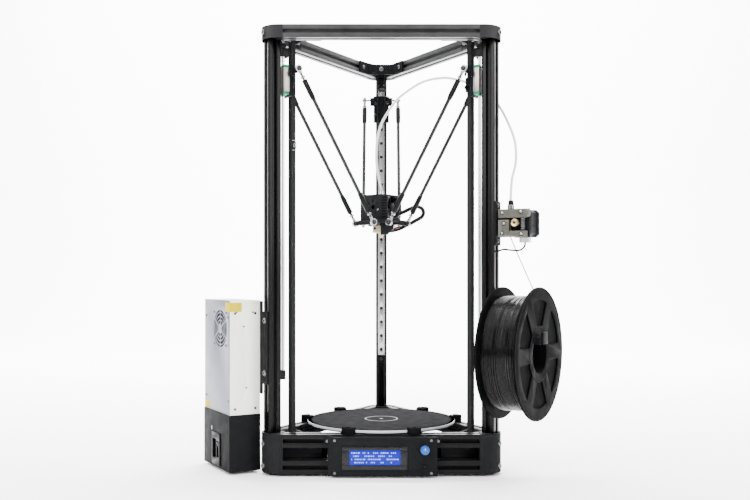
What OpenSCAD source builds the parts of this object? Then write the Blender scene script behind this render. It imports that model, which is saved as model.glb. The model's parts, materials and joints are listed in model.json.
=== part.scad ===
// Desktop delta printer: three vertical columns on a triangular base, three belt-driven
// carriages, and an effector hung from them on six ball-ended push rods.
// The origin is the centre of the build surface. +X is to the right, -Y to the front, +Z up.

/* [Frame] */
// Height of the whole machine above the floor
frame_height = 684; // [664:2:720]
// Distance from the tower axis to the middle of each column
column_radius = 193; // [191:0.5:196]
// Height of the base frame, made of two beams with a gap between them
base_height = 60; // [60:1:64]
// Thickness of the rubber feet
foot_height = 4; // [3:0.5:6]
// Radius of the rounded outer corners
corner_round = 30; // [29:0.5:31]

/* [Print bed] */
// Diameter of the round build plate
bed_diameter = 240; // [200:10:240]
// Thickness of the build plate
plate_thickness = 4; // [3:0.5:5]
// Thickness of the heater under it
heater_thickness = 2; // [1.5:0.5:3]

/* [Motion] */
// Length of a push rod, between the centres of its two ball joints
rod_length = 265; // [258:1:275]
// Distance between the two rods of a pair
rod_spacing = 60; // [58:1:62]
// Distance from the tool's axis to each pair of lower ball joints
effector_offset = 31.6; // [30:0.2:34]
// Height of the upper ball joints above the floor
carriage_level = 619.4; // [590:0.2:622]

/* [Supply] */
// Diameter of the spool's flanges
spool_diameter = 200; // [160:5:200]
// Overall width of the spool
spool_width = 62; // [50:1:66]
// Height of the power supply with its terminal cover
supply_height = 262; // [250:1:280]
// Width of the power supply
supply_width = 112; // [100:1:115]
// Depth of the power supply
supply_depth = 49; // [45:1:52]

/* [Hidden] */

$fn = 48;

// Directions of the towers and of the sides between them
LEFT = 210;
RIGHT = 330;
REAR = 90;
TOWERS = [LEFT, RIGHT, REAR];
SIDES = [270, 30, 150];

// Heights above the floor
base_top = foot_height + base_height;
build_level = base_top + heater_thickness + plate_thickness;
top_bottom = frame_height - 20;
motor_level = 34;
idler_level = frame_height - 10.5;

// Frame plan, seen in a tower's own frame: X is outwards, Y is counter-clockwise
profile = 20;
corner_centre = column_radius - 15;
beam_face = corner_centre * cos(60) + corner_round;
beam_axis = beam_face - profile / 2;
beam_half = corner_centre * sin(60) - 5.15;
beam_root = [
    beam_half * cos(30) + (beam_face - profile) * sin(30),
    (beam_face - profile) * cos(30) - beam_half * sin(30)
];
column_inner = column_radius - profile / 2;
column_outer = column_radius + profile / 2;
plate_radius = column_inner - 33;
casting_wall = 4;
fit_gap = 0.1;

// Rails, belts and carriages
rail_width = 12;
rail_depth = 8;
rail_face = column_inner - rail_depth;
rail_bottom = 159;
rail_top = 640;
belt_width = 6;
belt_radius = 160;
belt_inner = 5.75;
belt_outer = 7.15;
joint_radius = 162.7;
arm_half = rod_spacing / 2;
ball = 7.4;
block_length = 45.4;
block_middle = carriage_level - 15;
carriage_bottom = carriage_level - 39.4;

// Effector
rod_drop = sqrt(pow(rod_length, 2) - pow(joint_radius - effector_offset, 2));
rod_tilt = acos(rod_drop / rod_length);
tool_level = carriage_level - rod_drop;
shroud_turn = -30;
shroud_bottom = tool_level + 4.7;
shroud_top = tool_level + 46;
fan_level = tool_level + 25.5;

// Spool and its holder, in the right tower's frame
spool_inner = column_outer + 8;
spool_level = 187;
hub_bore = 29;

// Extruder, in the right tower's frame
extruder_axis = 233.8;
extruder_level = 384;
filament_radius = 226.8;
lever_pivot = [214.4, 368.3];

// Power supply, in the left tower's frame
supply_inner = column_outer + 2;
supply_outer = supply_inner + supply_depth;
supply_front = -20;
supply_back = supply_front - supply_width;
supply_bottom = 4;
cover_top = supply_bottom + 87;
supply_top = supply_bottom + supply_height;
supply_fan = [-62, 221.6];

// Display panel
panel_front = -beam_face - 11;
panel_back = panel_front + 3;
knob_place = [65.5, 43];
reset_place = [65.5, 18];

// Routes of the flexible pieces, in the printer's own frame
tube_route = [
    [196, -113, 348], [198, -112, 379], [205, -106, 410], [203, -92, 449], [182, -66, 503],
    [154, -44, 533], [117, -25, 550], [93, -16, 553], [66, -8, 548], [39, -3, 532],
    [24, -1, 519], [11, 0, 501], [0, 0, 481], [-7, 0, 454], [-8, 0, 419], [-4, 0, 393],
    [0, 0, 372.5]
];
strand_route = [[196, -113, 292], [213, -104, 255], [237, -85, 208], [262, -62, 163]];
cable_route = [
    [223, -82, 285], [221, -83, 278], [213, -87, 273], [200, -94, 273], [188, -99, 274],
    [180, -102, 272], [174, -100, 270]
];
loom_route = [
    [14, 15, 334], [22, 23, 335], [34, 26, 338], [47, 24, 344], [58, 23, 348], [67, 23, 345],
    [70, 23, 338], [67, 23, 331], [59, 23, 326], [50, 22, 321], [40, 19, 316], [30, 13, 311],
    [20, 7, 308], [12, 3, 307]
];

// ---------- shared helpers ----------

// Stands its children on the floor, which lies below the build surface
module on_floor() {
    translate([0, 0, -build_level]) children();
}

// Turns its children into a tower's or a side's own frame, standing on the floor
module facing(direction) {
    rotate([0, 0, direction]) on_floor() children();
}

module block(low, high) {
    translate(low) cube(high - low);
}

// A cylinder along X from one distance to another
module rod_x(d, from, to, y, z) {
    translate([from, y, z]) rotate([0, 90, 0]) cylinder(d = d, h = to - from);
}

// A cylinder along Y from one place to another
module rod_y(d, from, to, x, z) {
    translate([x, from, z]) rotate([-90, 0, 0]) cylinder(d = d, h = to - from);
}

// A button-head screw whose head stands on the face x = 0 and whose shank goes back along -X
module screw(head, shank, length) {
    rotate([0, 90, 0]) cylinder(d1 = head, d2 = head * 0.66, h = head * 0.3);
    translate([-length, 0, 0]) rotate([0, 90, 0]) cylinder(d = shank, h = length);
}

// Cross-section of the slotted square extrusion
module extrusion(length) {
    slot = [
        [10.2, 3.1], [8.2, 3.1], [8.2, 5.5], [6.9, 5.5], [4.4, 3],
        [4.4, -3], [6.9, -5.5], [8.2, -5.5], [8.2, -3.1], [10.2, -3.1]
    ];
    difference() {
        translate([-profile / 2, -profile / 2, 0]) cube([profile, profile, length]);
        for (turn = [0:90:270])
            rotate([0, 0, turn]) translate([0, 0, -1]) linear_extrude(length + 2) polygon(slot);
        translate([0, 0, -1]) cylinder(d = 4.2, h = length + 2, $fn = 24);
    }
}

// Smooth curve through the points of a route
function curve(p, i, t) =
    let (
        a = p[max(i - 1, 0)],
        b = p[i],
        c = p[i + 1],
        d = p[min(i + 2, len(p) - 1)]
    )
    (2 * b + (c - a) * t + (2 * a - 5 * b + 4 * c - d) * t * t
        + (3 * b - a - 3 * c + d) * t * t * t) / 2;

function smooth(p, steps) = concat(
    [for (i = [0:len(p) - 2], s = [0:steps - 1]) curve(p, i, s / steps)],
    [p[len(p) - 1]]
);

function unit(v) = v / norm(v);

// A round tube swept along a route. No part of the route runs along Y.
module sweep(route, d, steps, sides) {
    p = smooth(route, steps);
    last = len(p) - 1;
    points = [
        for (i = [0:last])
            let (
                along = unit(p[min(i + 1, last)] - p[max(i - 1, 0)]),
                across = unit(cross(along, [0, 1, 0])),
                up = cross(across, along)
            )
            for (k = [0:sides - 1])
                p[i] + d / 2 * (cos(360 * k / sides) * across + sin(360 * k / sides) * up)
    ];
    skin = [
        for (i = [0:last - 1], k = [0:sides - 1])
            let (n = (k + 1) % sides)
            [i * sides + k, i * sides + n, (i + 1) * sides + n, (i + 1) * sides + k]
    ];
    ends = [
        [for (k = [sides - 1:-1:0]) k],
        [for (k = [0:sides - 1]) last * sides + k]
    ];
    polyhedron(points, concat(skin, ends));
}

// ---------- frame ----------

// Outer block of a corner with the two legs that run along the beams
module corner(low, high, leg) {
    height = high - low;
    edge = [corner_centre + corner_round * cos(60), corner_round * sin(60)];
    difference() {
        translate([0, 0, low]) union() {
            translate([corner_centre, 0, 0]) cylinder(r = corner_round, h = height, $fn = 96);
            linear_extrude(height)
                polygon([
                    edge, [edge[0] - 26, edge[1] + 15],
                    [edge[0] - 26, -edge[1] - 15], [edge[0], -edge[1]]
                ]);
        }
        for (side = [0, 1])
            mirror([0, side, 0]) translate([beam_root[0], beam_root[1], low - 1])
                rotate([0, 0, 150]) translate([0, -60, 0]) cube([90, 150, height + 2]);
    }
    for (side = [0, 1])
        mirror([0, side, 0]) translate([beam_root[0], beam_root[1], low])
            rotate([0, 0, 150]) translate([-4, fit_gap, 0]) cube([leg + 4, casting_wall, height]);
}

module column_pocket(low, high) {
    half = profile / 2 + fit_gap;
    block([column_radius - half, -half, low], [column_radius + half, half, high]);
}

module base_corners() {
    color("#2b2c2e") for (tower = TOWERS) facing(tower) difference() {
        union() {
            corner(foot_height, base_top, 57);
            block([plate_radius, -24.5, foot_height], [plate_radius + casting_wall, 24.5, base_top]);
        }
        column_pocket(foot_height + 4, base_top + 1);
        rod_x(23, plate_radius - 1, plate_radius + 5, 0, motor_level);
        for (y = [-15.5, 15.5], z = [-15.5, 15.5])
            rod_x(3.4, plate_radius - 1, plate_radius + 5, y, motor_level + z);
        for (z = [14, 48])
            rod_x(5.2, column_outer - 1, column_outer + 12, 0, z);
    }
}

module top_corners() {
    color("#2b2c2e") for (tower = TOWERS) facing(tower) difference() {
        union() {
            corner(top_bottom, frame_height, 57);
            block([plate_radius, -24.5, top_bottom], [plate_radius + casting_wall, 24.5, frame_height - 2]);
        }
        column_pocket(top_bottom - 1, frame_height - 4);
        rod_x(5.2, plate_radius - 1, plate_radius + 5, 0, idler_level);
        for (y = [-15.4, 15.4])
            rod_x(3, plate_radius - 1, plate_radius + 5, y, idler_level - 4);
        rod_x(5.2, column_outer - 1, column_outer + 12, 0, frame_height - 9);
    }
}

module columns() {
    color("#242527") for (tower = TOWERS) facing(tower)
        translate([column_radius, 0, foot_height + 4]) extrusion(frame_height - foot_height - 8);
}

module beam(level) {
    translate([beam_axis, beam_half, level]) rotate([90, 0, 0]) extrusion(2 * beam_half);
}

module base_beams() {
    color("#2a2b2d") for (side = SIDES) facing(side) {
        beam(foot_height + profile / 2);
        beam(base_top - profile / 2);
    }
}

module top_beams() {
    color("#2a2b2d") for (side = SIDES) facing(side) beam(frame_height - profile / 2);
}

// Screws: corner to column, leg to beam, motor to corner, and each idler's axle
module frame_screws() {
    leg_face = casting_wall + fit_gap;
    color("#b9bbbe") for (tower = TOWERS) facing(tower) {
        for (z = [14, 48, frame_height - 9])
            translate([column_radius - 15 + corner_round, 0, z]) screw(8.4, 5, 4.8);
        for (side = [0, 1], z = [14, 54, frame_height - 10])
            mirror([0, side, 0]) translate([beam_root[0], beam_root[1], z])
                rotate([0, 0, 150]) translate([48, leg_face + 0.05, 0]) rotate([0, 0, 90])
                    screw(7, 4, 0.05);
        for (y = [-15.5, 15.5], z = [-15.5, 15.5])
            translate([plate_radius + casting_wall, y, motor_level + z]) screw(5.4, 3, casting_wall);
        translate([plate_radius, 0, idler_level]) rotate([0, 0, 180]) screw(8, 5, 18);
    }
}

module feet() {
    color("#161616") for (tower = TOWERS) facing(tower)
        translate([column_radius - 5, 0, 0]) difference() {
            cylinder(d1 = 19, d2 = 22, h = foot_height);
            translate([0, 0, -1]) cylinder(d = 6, h = foot_height - 1);
        }
}

// ---------- drives ----------

module linear_rails() {
    color("#c9cacc") for (tower = TOWERS) facing(tower) difference() {
        block([rail_face, -rail_width / 2, rail_bottom], [column_inner, rail_width / 2, rail_top]);
        for (side = [-1, 1])
            translate([rail_face + 3.4, side * rail_width / 2, rail_bottom - 1]) rotate([0, 0, 45])
                translate([-0.7, -0.7, 0]) cube([1.4, 1.4, rail_top - rail_bottom + 2]);
        for (z = [rail_bottom + 10:25:rail_top - 5]) {
            rod_x(3.5, rail_face - 1, column_inner + 1, 0, z);
            rod_x(6, rail_face - 1, rail_face + 4.5, 0, z);
        }
    }
}

module belt_loop(radius, width) {
    height = idler_level - motor_level;
    translate([belt_radius - width / 2, 0, motor_level]) {
        rotate([0, 90, 0]) cylinder(r = radius, h = width);
        translate([0, -radius, 0]) cube([width, 2 * radius, height]);
        translate([0, 0, height]) rotate([0, 90, 0]) cylinder(r = radius, h = width);
    }
}

// Three closed belts, each with its spring tensioner clipped on the free run
module drive_belts() {
    clip_levels = [497, 526, 512];
    color("#17181a") for (i = [0:2]) facing(TOWERS[i]) {
        difference() {
            belt_loop(belt_outer, belt_width);
            belt_loop(belt_inner, belt_width + 2);
        }
        difference() {
            block([156, 4.4, clip_levels[i]], [163.8, 9.4, clip_levels[i] + 16]);
            block([156.9, belt_inner - 0.05, clip_levels[i] - 1], [163.1, belt_outer + 0.05, clip_levels[i] + 17]);
        }
    }
}

// A square stepper motor whose face lies in the plane x = 0 and whose body goes back along -X
module stepper(length) {
    half = 21.15;
    chamfer = 4.5;
    outline = [
        for (s = [[1, 1], [-1, 1], [-1, -1], [1, -1]], k = [0, 1])
            let (first = s[0] * s[1] > 0 ? k == 0 : k == 1)
            [s[0] * (half - (first ? 0 : chamfer)), s[1] * (half - (first ? chamfer : 0))]
    ];
    inner = 1.6;
    rotate([0, -90, 0]) {
        linear_extrude(8) polygon(outline);
        translate([0, 0, 8]) linear_extrude(length - 17)
            polygon([for (p = outline) [p[0] - sign(p[0]) * inner / 2, p[1] - sign(p[1]) * inner / 2]]);
        translate([0, 0, length - 9]) linear_extrude(9) polygon(outline);
    }
    rod_x(22, -1, 2, 0, 0);
    block([-length + 1, -8, -29], [-length + 11, 8, -21]);
}

module stepper_motors() {
    color("#1c1d1f") {
        for (tower = TOWERS) facing(tower)
            translate([plate_radius, 0, motor_level]) difference() {
                stepper(40);
                rod_x(6, -45, 5, 0, 0);
            }
        facing(RIGHT) translate([extruder_axis, 7, extruder_level]) rotate([0, 0, -90])
            difference() {
                stepper(40);
                rod_x(6, -45, 5, 0, 0);
            }
    }
}

// Toothed wheel on a motor's shaft, turning about X
module motor_pulley() {
    translate([0, 0, motor_level]) {
        rod_x(2 * belt_inner - 0.1, belt_radius - 3.5, belt_radius + 3.5, 0, 0);
        rod_x(15, belt_radius - 4.7, belt_radius - 3.4, 0, 0);
        rod_x(15, belt_radius + 3.4, belt_radius + 4.7, 0, 0);
        rod_x(12, belt_radius + 4.6, belt_radius + 9.5, 0, 0);
        rod_x(5, plate_radius - 36, belt_radius + 11, 0, 0);
    }
}

module motor_pulley_left() { color("#b9babd") facing(LEFT) motor_pulley(); }
module motor_pulley_right() { color("#b9babd") facing(RIGHT) motor_pulley(); }
module motor_pulley_rear() { color("#b9babd") facing(REAR) motor_pulley(); }

// Toothed wheel that turns on the axle in a top corner
module idler_pulley() {
    translate([0, 0, idler_level]) difference() {
        union() {
            rod_x(2 * belt_inner - 0.1, belt_radius - 3.5, belt_radius + 3.5, 0, 0);
            rod_x(15, belt_radius - 4.7, belt_radius - 3.4, 0, 0);
            rod_x(15, belt_radius + 3.4, belt_radius + 4.7, 0, 0);
        }
        rod_x(5.1, belt_radius - 6, belt_radius + 6, 0, 0);
    }
}

module idler_pulley_left() { color("#b9babd") facing(LEFT) idler_pulley(); }
module idler_pulley_right() { color("#b9babd") facing(RIGHT) idler_pulley(); }
module idler_pulley_rear() { color("#b9babd") facing(REAR) idler_pulley(); }

// Both ends of each carriage's travel: a switch on its mounting strip above the rail, and a
// block with its screw hole below the rail
module travel_stops() {
    block_top = rail_bottom - 0.5;
    block_height = 14;
    color("#1d1e20") for (tower = TOWERS) facing(tower) {
        block([column_inner - 3, -8, rail_top + 1], [column_inner, 8, top_bottom - 1]);
        block([168, -7.5, rail_top + 1], [column_inner - 3.05, 7.5, rail_top + 14]);
        block([169.5, 1, rail_top - 1.2], [174, 5, rail_top + 0.95]);
        block([172, -6, rail_top + 15], [column_inner - 3.05, 6, rail_top + 20]);
        difference() {
            block([rail_face - 1, -8, block_top - block_height], [column_inner, 8, block_top]);
            rod_x(3.5, rail_face - 2, column_inner + 1, 0, block_top - block_height / 2);
        }
    }
}

// ---------- carriages ----------

module ball_stud(side, radius, level, root) {
    from = side > 0 ? root : -arm_half - 4.5;
    to = side > 0 ? arm_half + 4.5 : -root;
    rod_y(3, from, to, radius, level);
    translate([radius, side * arm_half, level]) sphere(d = ball, $fn = 40);
}

module carriage() {
    difference() {
        union() {
            block([164.2, -13.8, carriage_bottom], [169.9, 13.8, carriage_bottom + 47.5]);
            block([164.2, -20, carriage_level - 9], [169.9, 20, carriage_level + 5]);
            block([159.4, 13, carriage_level - 4.5], [165, 20, carriage_level + 4.5]);
            block([159.4, -20, carriage_level - 4.5], [165, -13, carriage_level + 4.5]);
            block([156.2, -11, carriage_bottom + 7], [165, -3.2, carriage_bottom + 29]);
            ball_stud(1, joint_radius, carriage_level, 14);
            ball_stud(-1, joint_radius, carriage_level, 14);
        }
        block([155, -belt_outer - 0.3, carriage_bottom + 6], [163.6, -belt_inner + 0.3, carriage_bottom + 30]);
        for (y = [-10, 10], z = [-10, 10])
            rod_x(3.4, 155, 171, y, block_middle + z);
    }
}

module carriage_left() { color("#202123") facing(LEFT) carriage(); }
module carriage_right() { color("#202123") facing(RIGHT) carriage(); }
module carriage_rear() { color("#202123") facing(REAR) carriage(); }

// Ball-bearing block astride the rail, with an end cap above and below it
module rail_block() {
    low = block_middle - block_length / 2;
    high = block_middle + block_length / 2;
    cap = 4.4;
    difference() {
        union() {
            block([170, -13.5, low + cap], [180, 13.5, high - cap]);
            block([170.4, -13, low], [179.6, 13, low + cap - 0.05]);
            block([170.4, -13, high - cap + 0.05], [179.6, 13, high]);
        }
        block([rail_face - 0.25, -rail_width / 2 - 0.25, low - 1], [181, rail_width / 2 + 0.25, high + 1]);
    }
}

module rail_block_left() { color("#b4aca0") facing(LEFT) rail_block(); }
module rail_block_right() { color("#b4aca0") facing(RIGHT) rail_block(); }
module rail_block_rear() { color("#b4aca0") facing(REAR) rail_block(); }

// ---------- push rods ----------

// Tube with a sleeve and a screwed-in eye at each end
module push_rod(side) {
    translate([effector_offset, side * arm_half, tool_level]) rotate([0, rod_tilt, 0])
        difference() {
            union() {
                for (end = [0, 1])
                    translate([0, 0, end * rod_length]) mirror([0, 0, end]) {
                        rod_y(11, -2.5, 2.5, 0, 0);
                        translate([0, 0, 4.5]) cylinder(d = 4.4, h = 15);
                        translate([0, 0, 19]) cylinder(d = 8.2, h = 33);
                    }
                translate([0, 0, 50]) cylinder(d = 5.8, h = rod_length - 100);
            }
            for (end = [0, rod_length])
                rod_y(ball + 0.6, -4, 4, 0, end);
        }
}

module rod_left_front() { color("#26272a") facing(LEFT) push_rod(1); }
module rod_left_back() { color("#26272a") facing(LEFT) push_rod(-1); }
module rod_right_front() { color("#26272a") facing(RIGHT) push_rod(-1); }
module rod_right_back() { color("#26272a") facing(RIGHT) push_rod(1); }
module rod_rear_left() { color("#26272a") facing(REAR) push_rod(1); }
module rod_rear_right() { color("#26272a") facing(REAR) push_rod(-1); }

// ---------- effector ----------

module effector_plate() {
    reach = arm_half - 8;
    color("#232427") difference() {
        union() {
            on_floor() translate([0, 0, tool_level - 0.3]) linear_extrude(5)
                polygon([
                    for (tower = [90, 210, 330], side = [-1, 1])
                        [
                            effector_offset * cos(tower) - side * reach * sin(tower),
                            effector_offset * sin(tower) + side * reach * cos(tower)
                        ]
                ]);
            for (tower = TOWERS) facing(tower) {
                block(
                    [effector_offset - 3.25, -reach, tool_level - 3.3],
                    [effector_offset + 3.25, reach, tool_level + 3.2]
                );
                ball_stud(1, effector_offset, tool_level, reach - 1);
                ball_stud(-1, effector_offset, tool_level, reach - 1);
            }
        }
        on_floor() translate([0, 0, tool_level - 5]) cylinder(d = 14, h = 12);
    }
}

// Turns its children into the shroud's frame: X points at the fan
module shroud_frame() {
    facing(shroud_turn) children();
}

module effector_shroud() {
    body = [-27.7, 11.5];
    half = 20;
    wall = 1.8;
    duct = [[-1, 0], [20, 0], [20, -9], [10, -19], [-1, -19]];
    ring = [144, 90, 41, -22, -67];
    hole_x = -4.1;
    color("#1e1f21") {
        shroud_frame() difference() {
            union() {
                block([body[0], -half, shroud_bottom], [body[1], half, shroud_top]);
                block([body[1] - 0.1, -half, fan_level - half], [body[1] + 11, half, fan_level + half]);
            }
            block(
                [body[0] + wall, -half + wall, shroud_bottom - 1],
                [body[1] - wall, half - wall, shroud_top - wall]
            );
            rod_x(37.4, body[1] - wall - 1, body[1] + 12, 0, fan_level);
            translate([0, 0, shroud_top - 5]) cylinder(d = 9, h = 10);
            rod_y(7, -half - 1, -half + 3, hole_x, fan_level - 0.2);
            for (a = ring)
                rod_y(2.8, -half - 1, -half + 3, hole_x + 10 * cos(a), fan_level - 0.2 + 10 * sin(a));
        }
        // Three arms that hold the fan's motor
        shroud_frame() for (a = [30, 150, 270])
            translate([body[1], 0, fan_level]) rotate([a, 0, 0])
                block([0, -1, 6], [1.6, 1, 19.2]);
        shroud_frame() rod_x(14, body[1], body[1] + 1.6, 0, fan_level);
        // Duct that blows on the work
        on_floor() translate([0, -11, tool_level - 0.3]) rotate([90, 0, 0])
            linear_extrude(12) polygon(duct);
    }
}

// Seven blades on a hub, turning about X; the hub's back is at x = 0
module fan_rotor(radius, hub, depth) {
    rod_x(2 * hub, 0, depth, 0, 0);
    for (a = [0:360 / 7:359])
        rotate([a, 0, 0]) translate([depth / 2, 0, hub - 0.6]) rotate([0, 0, 38])
            block([-0.6, -depth * 0.55, 0], [0.6, depth * 0.55, radius - hub + 0.6]);
}

module effector_fan() {
    color("#17181a") shroud_frame() translate([11.5 + 2.4, 0, fan_level])
        fan_rotor(17.4, 7, 7);
}

// Cold end inside the shroud, heater block below it, nozzle and tube fitting
module hotend() {
    tip = tool_level - 23.3;
    color("#d8d2bf") on_floor() {
        for (z = [0:4:28])
            translate([0, 0, shroud_bottom + 2 + z]) cylinder(d = 19, h = 1.4);
        translate([0, 0, shroud_bottom + 0.5]) cylinder(d = 11, h = 36);
        translate([0, 0, tip + 18]) cylinder(d = 5, h = 11);
        translate([0, 0, shroud_bottom + 36]) cylinder(d = 8, h = 12);
        difference() {
            block([-14, -9, tip + 7.5], [9, 8, tip + 19]);
            rod_y(3, -10, -5, -10.5, tip + 14.5);
        }
        translate([0, 0, tip]) cylinder(d1 = 1.6, d2 = 7, h = 4.5);
        translate([0, 0, tip + 4.4]) cylinder(d = 8, h = 3.2, $fn = 6);
    }
}

module wire_loom() {
    color("#141416") sweep(loom_route, 7, 2, 8);
}

// ---------- print bed ----------

module heater_bed() {
    color("#3a3b3e") on_floor() translate([0, 0, base_top])
        cylinder(d = bed_diameter - 6, h = heater_thickness, $fn = 120);
}

// Glass with a thin print surface that ends inside the clips
module build_plate() {
    coating = 0.2;
    color("#4a4c50") on_floor() translate([0, 0, base_top + heater_thickness]) {
        cylinder(d = bed_diameter, h = plate_thickness - coating, $fn = 120);
        cylinder(d = bed_diameter - 13, h = plate_thickness, $fn = 120);
    }
}

// Six clips that stand on the beams and lap over the plate's edge
module bed_clips() {
    edge = bed_diameter / 2;
    color("#131315") for (side = SIDES, turn = [-24, 24]) facing(side + turn) difference() {
        union() {
            block([edge + 0.2, -10.5, base_top], [edge + 5, 10.5, build_level + 4]);
            translate([edge + 5, 0, base_top]) intersection() {
                translate([-3, 0, 0]) cylinder(r = 10.9, h = build_level + 4 - base_top);
                translate([-0.1, -10.5, 0]) cube([12, 21, 20]);
            }
            block([edge - 6, -8, build_level - 0.15], [edge + 0.3, 8, build_level + 3.2]);
        }
        translate([edge + 4.5, 0, base_top + 3]) cylinder(d = 6.4, h = 12);
    }
}

// ---------- electronics in the base ----------

module control_board() {
    low = foot_height + profile;
    color("#1f5a3a") on_floor() {
        block([-50, -112, low + 4], [50, -22, low + 5.6]);
        for (x = [-44, 44])
            translate([x, -107, low]) cylinder(d = 6, h = 4.1);
        block([-48, -60, low + 5.5], [-30, -30, low + 15]);
        block([-22, -50, low + 5.5], [12, -24, low + 13]);
        for (x = [18:12:42])
            block([x - 4.5, -80, low + 5.5], [x + 4.5, -64, low + 14]);
    }
}

// Front plate of the display, with the two brackets that hold it to the beams
module lcd_panel() {
    left = -80;
    right = 84;
    low = 3;
    high = 62;
    color("#2c2d2f") on_floor() {
        difference() {
            block([left, panel_front, low], [right, panel_back, high]);
            block([-59, panel_front - 1, 13], [39, panel_back + 1, 47.5]);
            rod_y(9, panel_front - 1, panel_back + 1, knob_place[0], knob_place[1]);
            rod_y(6, panel_front - 1, panel_back + 1, reset_place[0], reset_place[1]);
        }
        for (x = [left + 3, right - 5])
            block([x, panel_back - 0.1, low + 3], [x + 2, -beam_face, high - 3]);
        difference() {
            block([left - 6, -beam_face - 2, 49], [left + 5, -beam_face, 60]);
            rod_y(3.4, -beam_face - 3, -beam_face + 1, left - 1.5, 54.5);
        }
        difference() {
            block([right - 5, -beam_face - 2, 49], [right + 6, -beam_face, 60]);
            rod_y(3.4, -beam_face - 3, -beam_face + 1, right + 1.5, 54.5);
        }
    }
}

// Display with its circuit board, the sockets of the knob and the reset button
module lcd_module() {
    color("#3448c8") on_floor() {
        block([-58.8, panel_front - 1.2, 13.2], [38.8, panel_back + 2, 47.3]);
        block([-72, panel_back + 1.9, 9], [76, panel_back + 3.5, 56]);
        difference() {
            block(
                [knob_place[0] - 6, panel_back + 0.2, knob_place[1] - 6],
                [knob_place[0] + 6, panel_back + 2, knob_place[1] + 6]
            );
            rod_y(6.1, panel_front, panel_back + 1.9, knob_place[0], knob_place[1]);
        }
    }
}

module encoder_shaft() {
    color("#9a9b9e") on_floor() {
        rod_y(6, panel_front - 10, panel_back + 0.8, knob_place[0], knob_place[1]);
        rod_y(8, panel_front + 0.4, panel_back - 0.7, knob_place[0], knob_place[1]);
    }
}

module encoder_knob() {
    color("#1f5aa8") on_floor() difference() {
        union() {
            rod_y(12, panel_front - 12, panel_front - 2.2, knob_place[0], knob_place[1]);
            rod_y(14, panel_front - 3.6, panel_front - 2.2, knob_place[0], knob_place[1]);
        }
        rod_y(6.1, panel_front - 10.05, panel_front, knob_place[0], knob_place[1]);
    }
}

module reset_button() {
    color("#18181a") on_floor() {
        rod_y(5, panel_front - 1.4, panel_back + 0.9, reset_place[0], reset_place[1]);
    }
}

// ---------- power supply on the left column ----------

// Sheet-metal case, open at the bottom under the terminal cover
module psu_case() {
    wall = 1.4;
    low = cover_top - 12;
    color("#d9d9dc") facing(LEFT) {
        difference() {
            block([supply_inner, supply_back, low], [supply_outer, supply_front, supply_top]);
            block(
                [supply_inner + wall, supply_back + wall, low - 1],
                [supply_outer - wall, supply_front - wall, supply_top - wall]
            );
            rod_x(58, supply_outer - 3, supply_outer + 1, supply_fan[0], supply_fan[1]);
            for (spot = [[243, 248], [216.5, 247.5], [231.5, 226], [227.5, 132]])
                rod_y(3, supply_front - 3, supply_front + 1, spot[0], spot[1]);
        }
        // Finger guard over the fan
        for (radius = [26, 20, 14]) difference() {
            rod_x(2 * radius, supply_outer - 1.2, supply_outer, supply_fan[0], supply_fan[1]);
            rod_x(2 * radius - 3, supply_outer - 2, supply_outer + 1, supply_fan[0], supply_fan[1]);
        }
        rod_x(16, supply_outer - 1.2, supply_outer, supply_fan[0], supply_fan[1]);
        for (a = [0:60:300])
            translate([supply_outer - 1.2, supply_fan[0], supply_fan[1]]) rotate([a, 0, 0])
                block([0, -1, 7], [1.2, 1, 29.5]);
    }
}

module psu_terminal_cover() {
    wall = 2;
    lip = 0.6;
    color("#151517") facing(LEFT) difference() {
        block(
            [supply_inner - lip, supply_back - lip, supply_bottom],
            [supply_outer + lip + 0.6, supply_front + lip, cover_top]
        );
        block(
            [supply_inner + wall, supply_back + wall, supply_bottom + wall],
            [supply_outer - wall, supply_front - wall, cover_top + 1]
        );
        block(
            [supply_inner - 0.05, supply_back - 0.05, cover_top - 12],
            [supply_outer + 0.05, supply_front + 0.05, cover_top + 1]
        );
        block([supply_outer - 5, -90, 11], [supply_outer + 3, -58, 55]);
        rod_x(20, supply_inner - 2, supply_inner + 5, -35, 30);
    }
}

// Mains socket and switch housing that snaps into the cover
module power_inlet() {
    face = supply_outer + 1.2;
    color("#101012") facing(LEFT) difference() {
        union() {
            block([face, -91.5, 8], [face + 2, -56.5, 58]);
            block([face - 24, -89.9, 11.1], [face + 0.1, -58.1, 54.9]);
        }
        // Socket, with its three contacts left standing
        difference() {
            block([face - 17, -88, 18], [face + 3, -72.5, 48]);
            for (z = [26, 33, 40])
                block([face - 18, -81, z - 2], [face - 3, -79.5, z + 2]);
        }
        // Seat of the rocker
        block([face - 9, -69.5, 20.5], [face + 3, -60.5, 45.5]);
    }
}

// Rocker that tips about Y; it rests with its lower end pressed in
module power_switch() {
    face = supply_outer + 1.2;
    color("#1a1a1c") facing(LEFT) translate([face - 2.4, 0, 33]) rotate([0, 8, 0]) {
        translate([0, -69.1, 0]) rotate([-90, 0, 0]) linear_extrude(8.2)
            polygon([[-3.5, -11], [3.4, -11.4], [3.4, -10], [1.9, 0], [3.4, 10], [3.4, 11.4], [-3.5, 11]]);
        rod_y(2.6, -69.4, -60.6, 0, 0);
    }
}

module psu_fan() {
    color("#141416") facing(LEFT) translate([supply_outer - 13, supply_fan[0], supply_fan[1]])
        fan_rotor(27, 11, 10);
}

// Steel plate between the case and the column, with two screws
module psu_bracket() {
    color("#202123") facing(LEFT) {
        difference() {
            union() {
                block([column_outer, -100, 122], [supply_inner, -12, 265]);
                block([column_outer, -12.1, 138], [supply_inner, 8, 249]);
            }
            for (z = [155, 235])
                rod_x(5.4, column_outer - 1, supply_inner + 1, 0, z);
        }
        for (z = [155, 235])
            translate([supply_inner, 0, z]) screw(9, 5, supply_inner - column_outer);
    }
}

// ---------- extruder on the right column ----------

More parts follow.
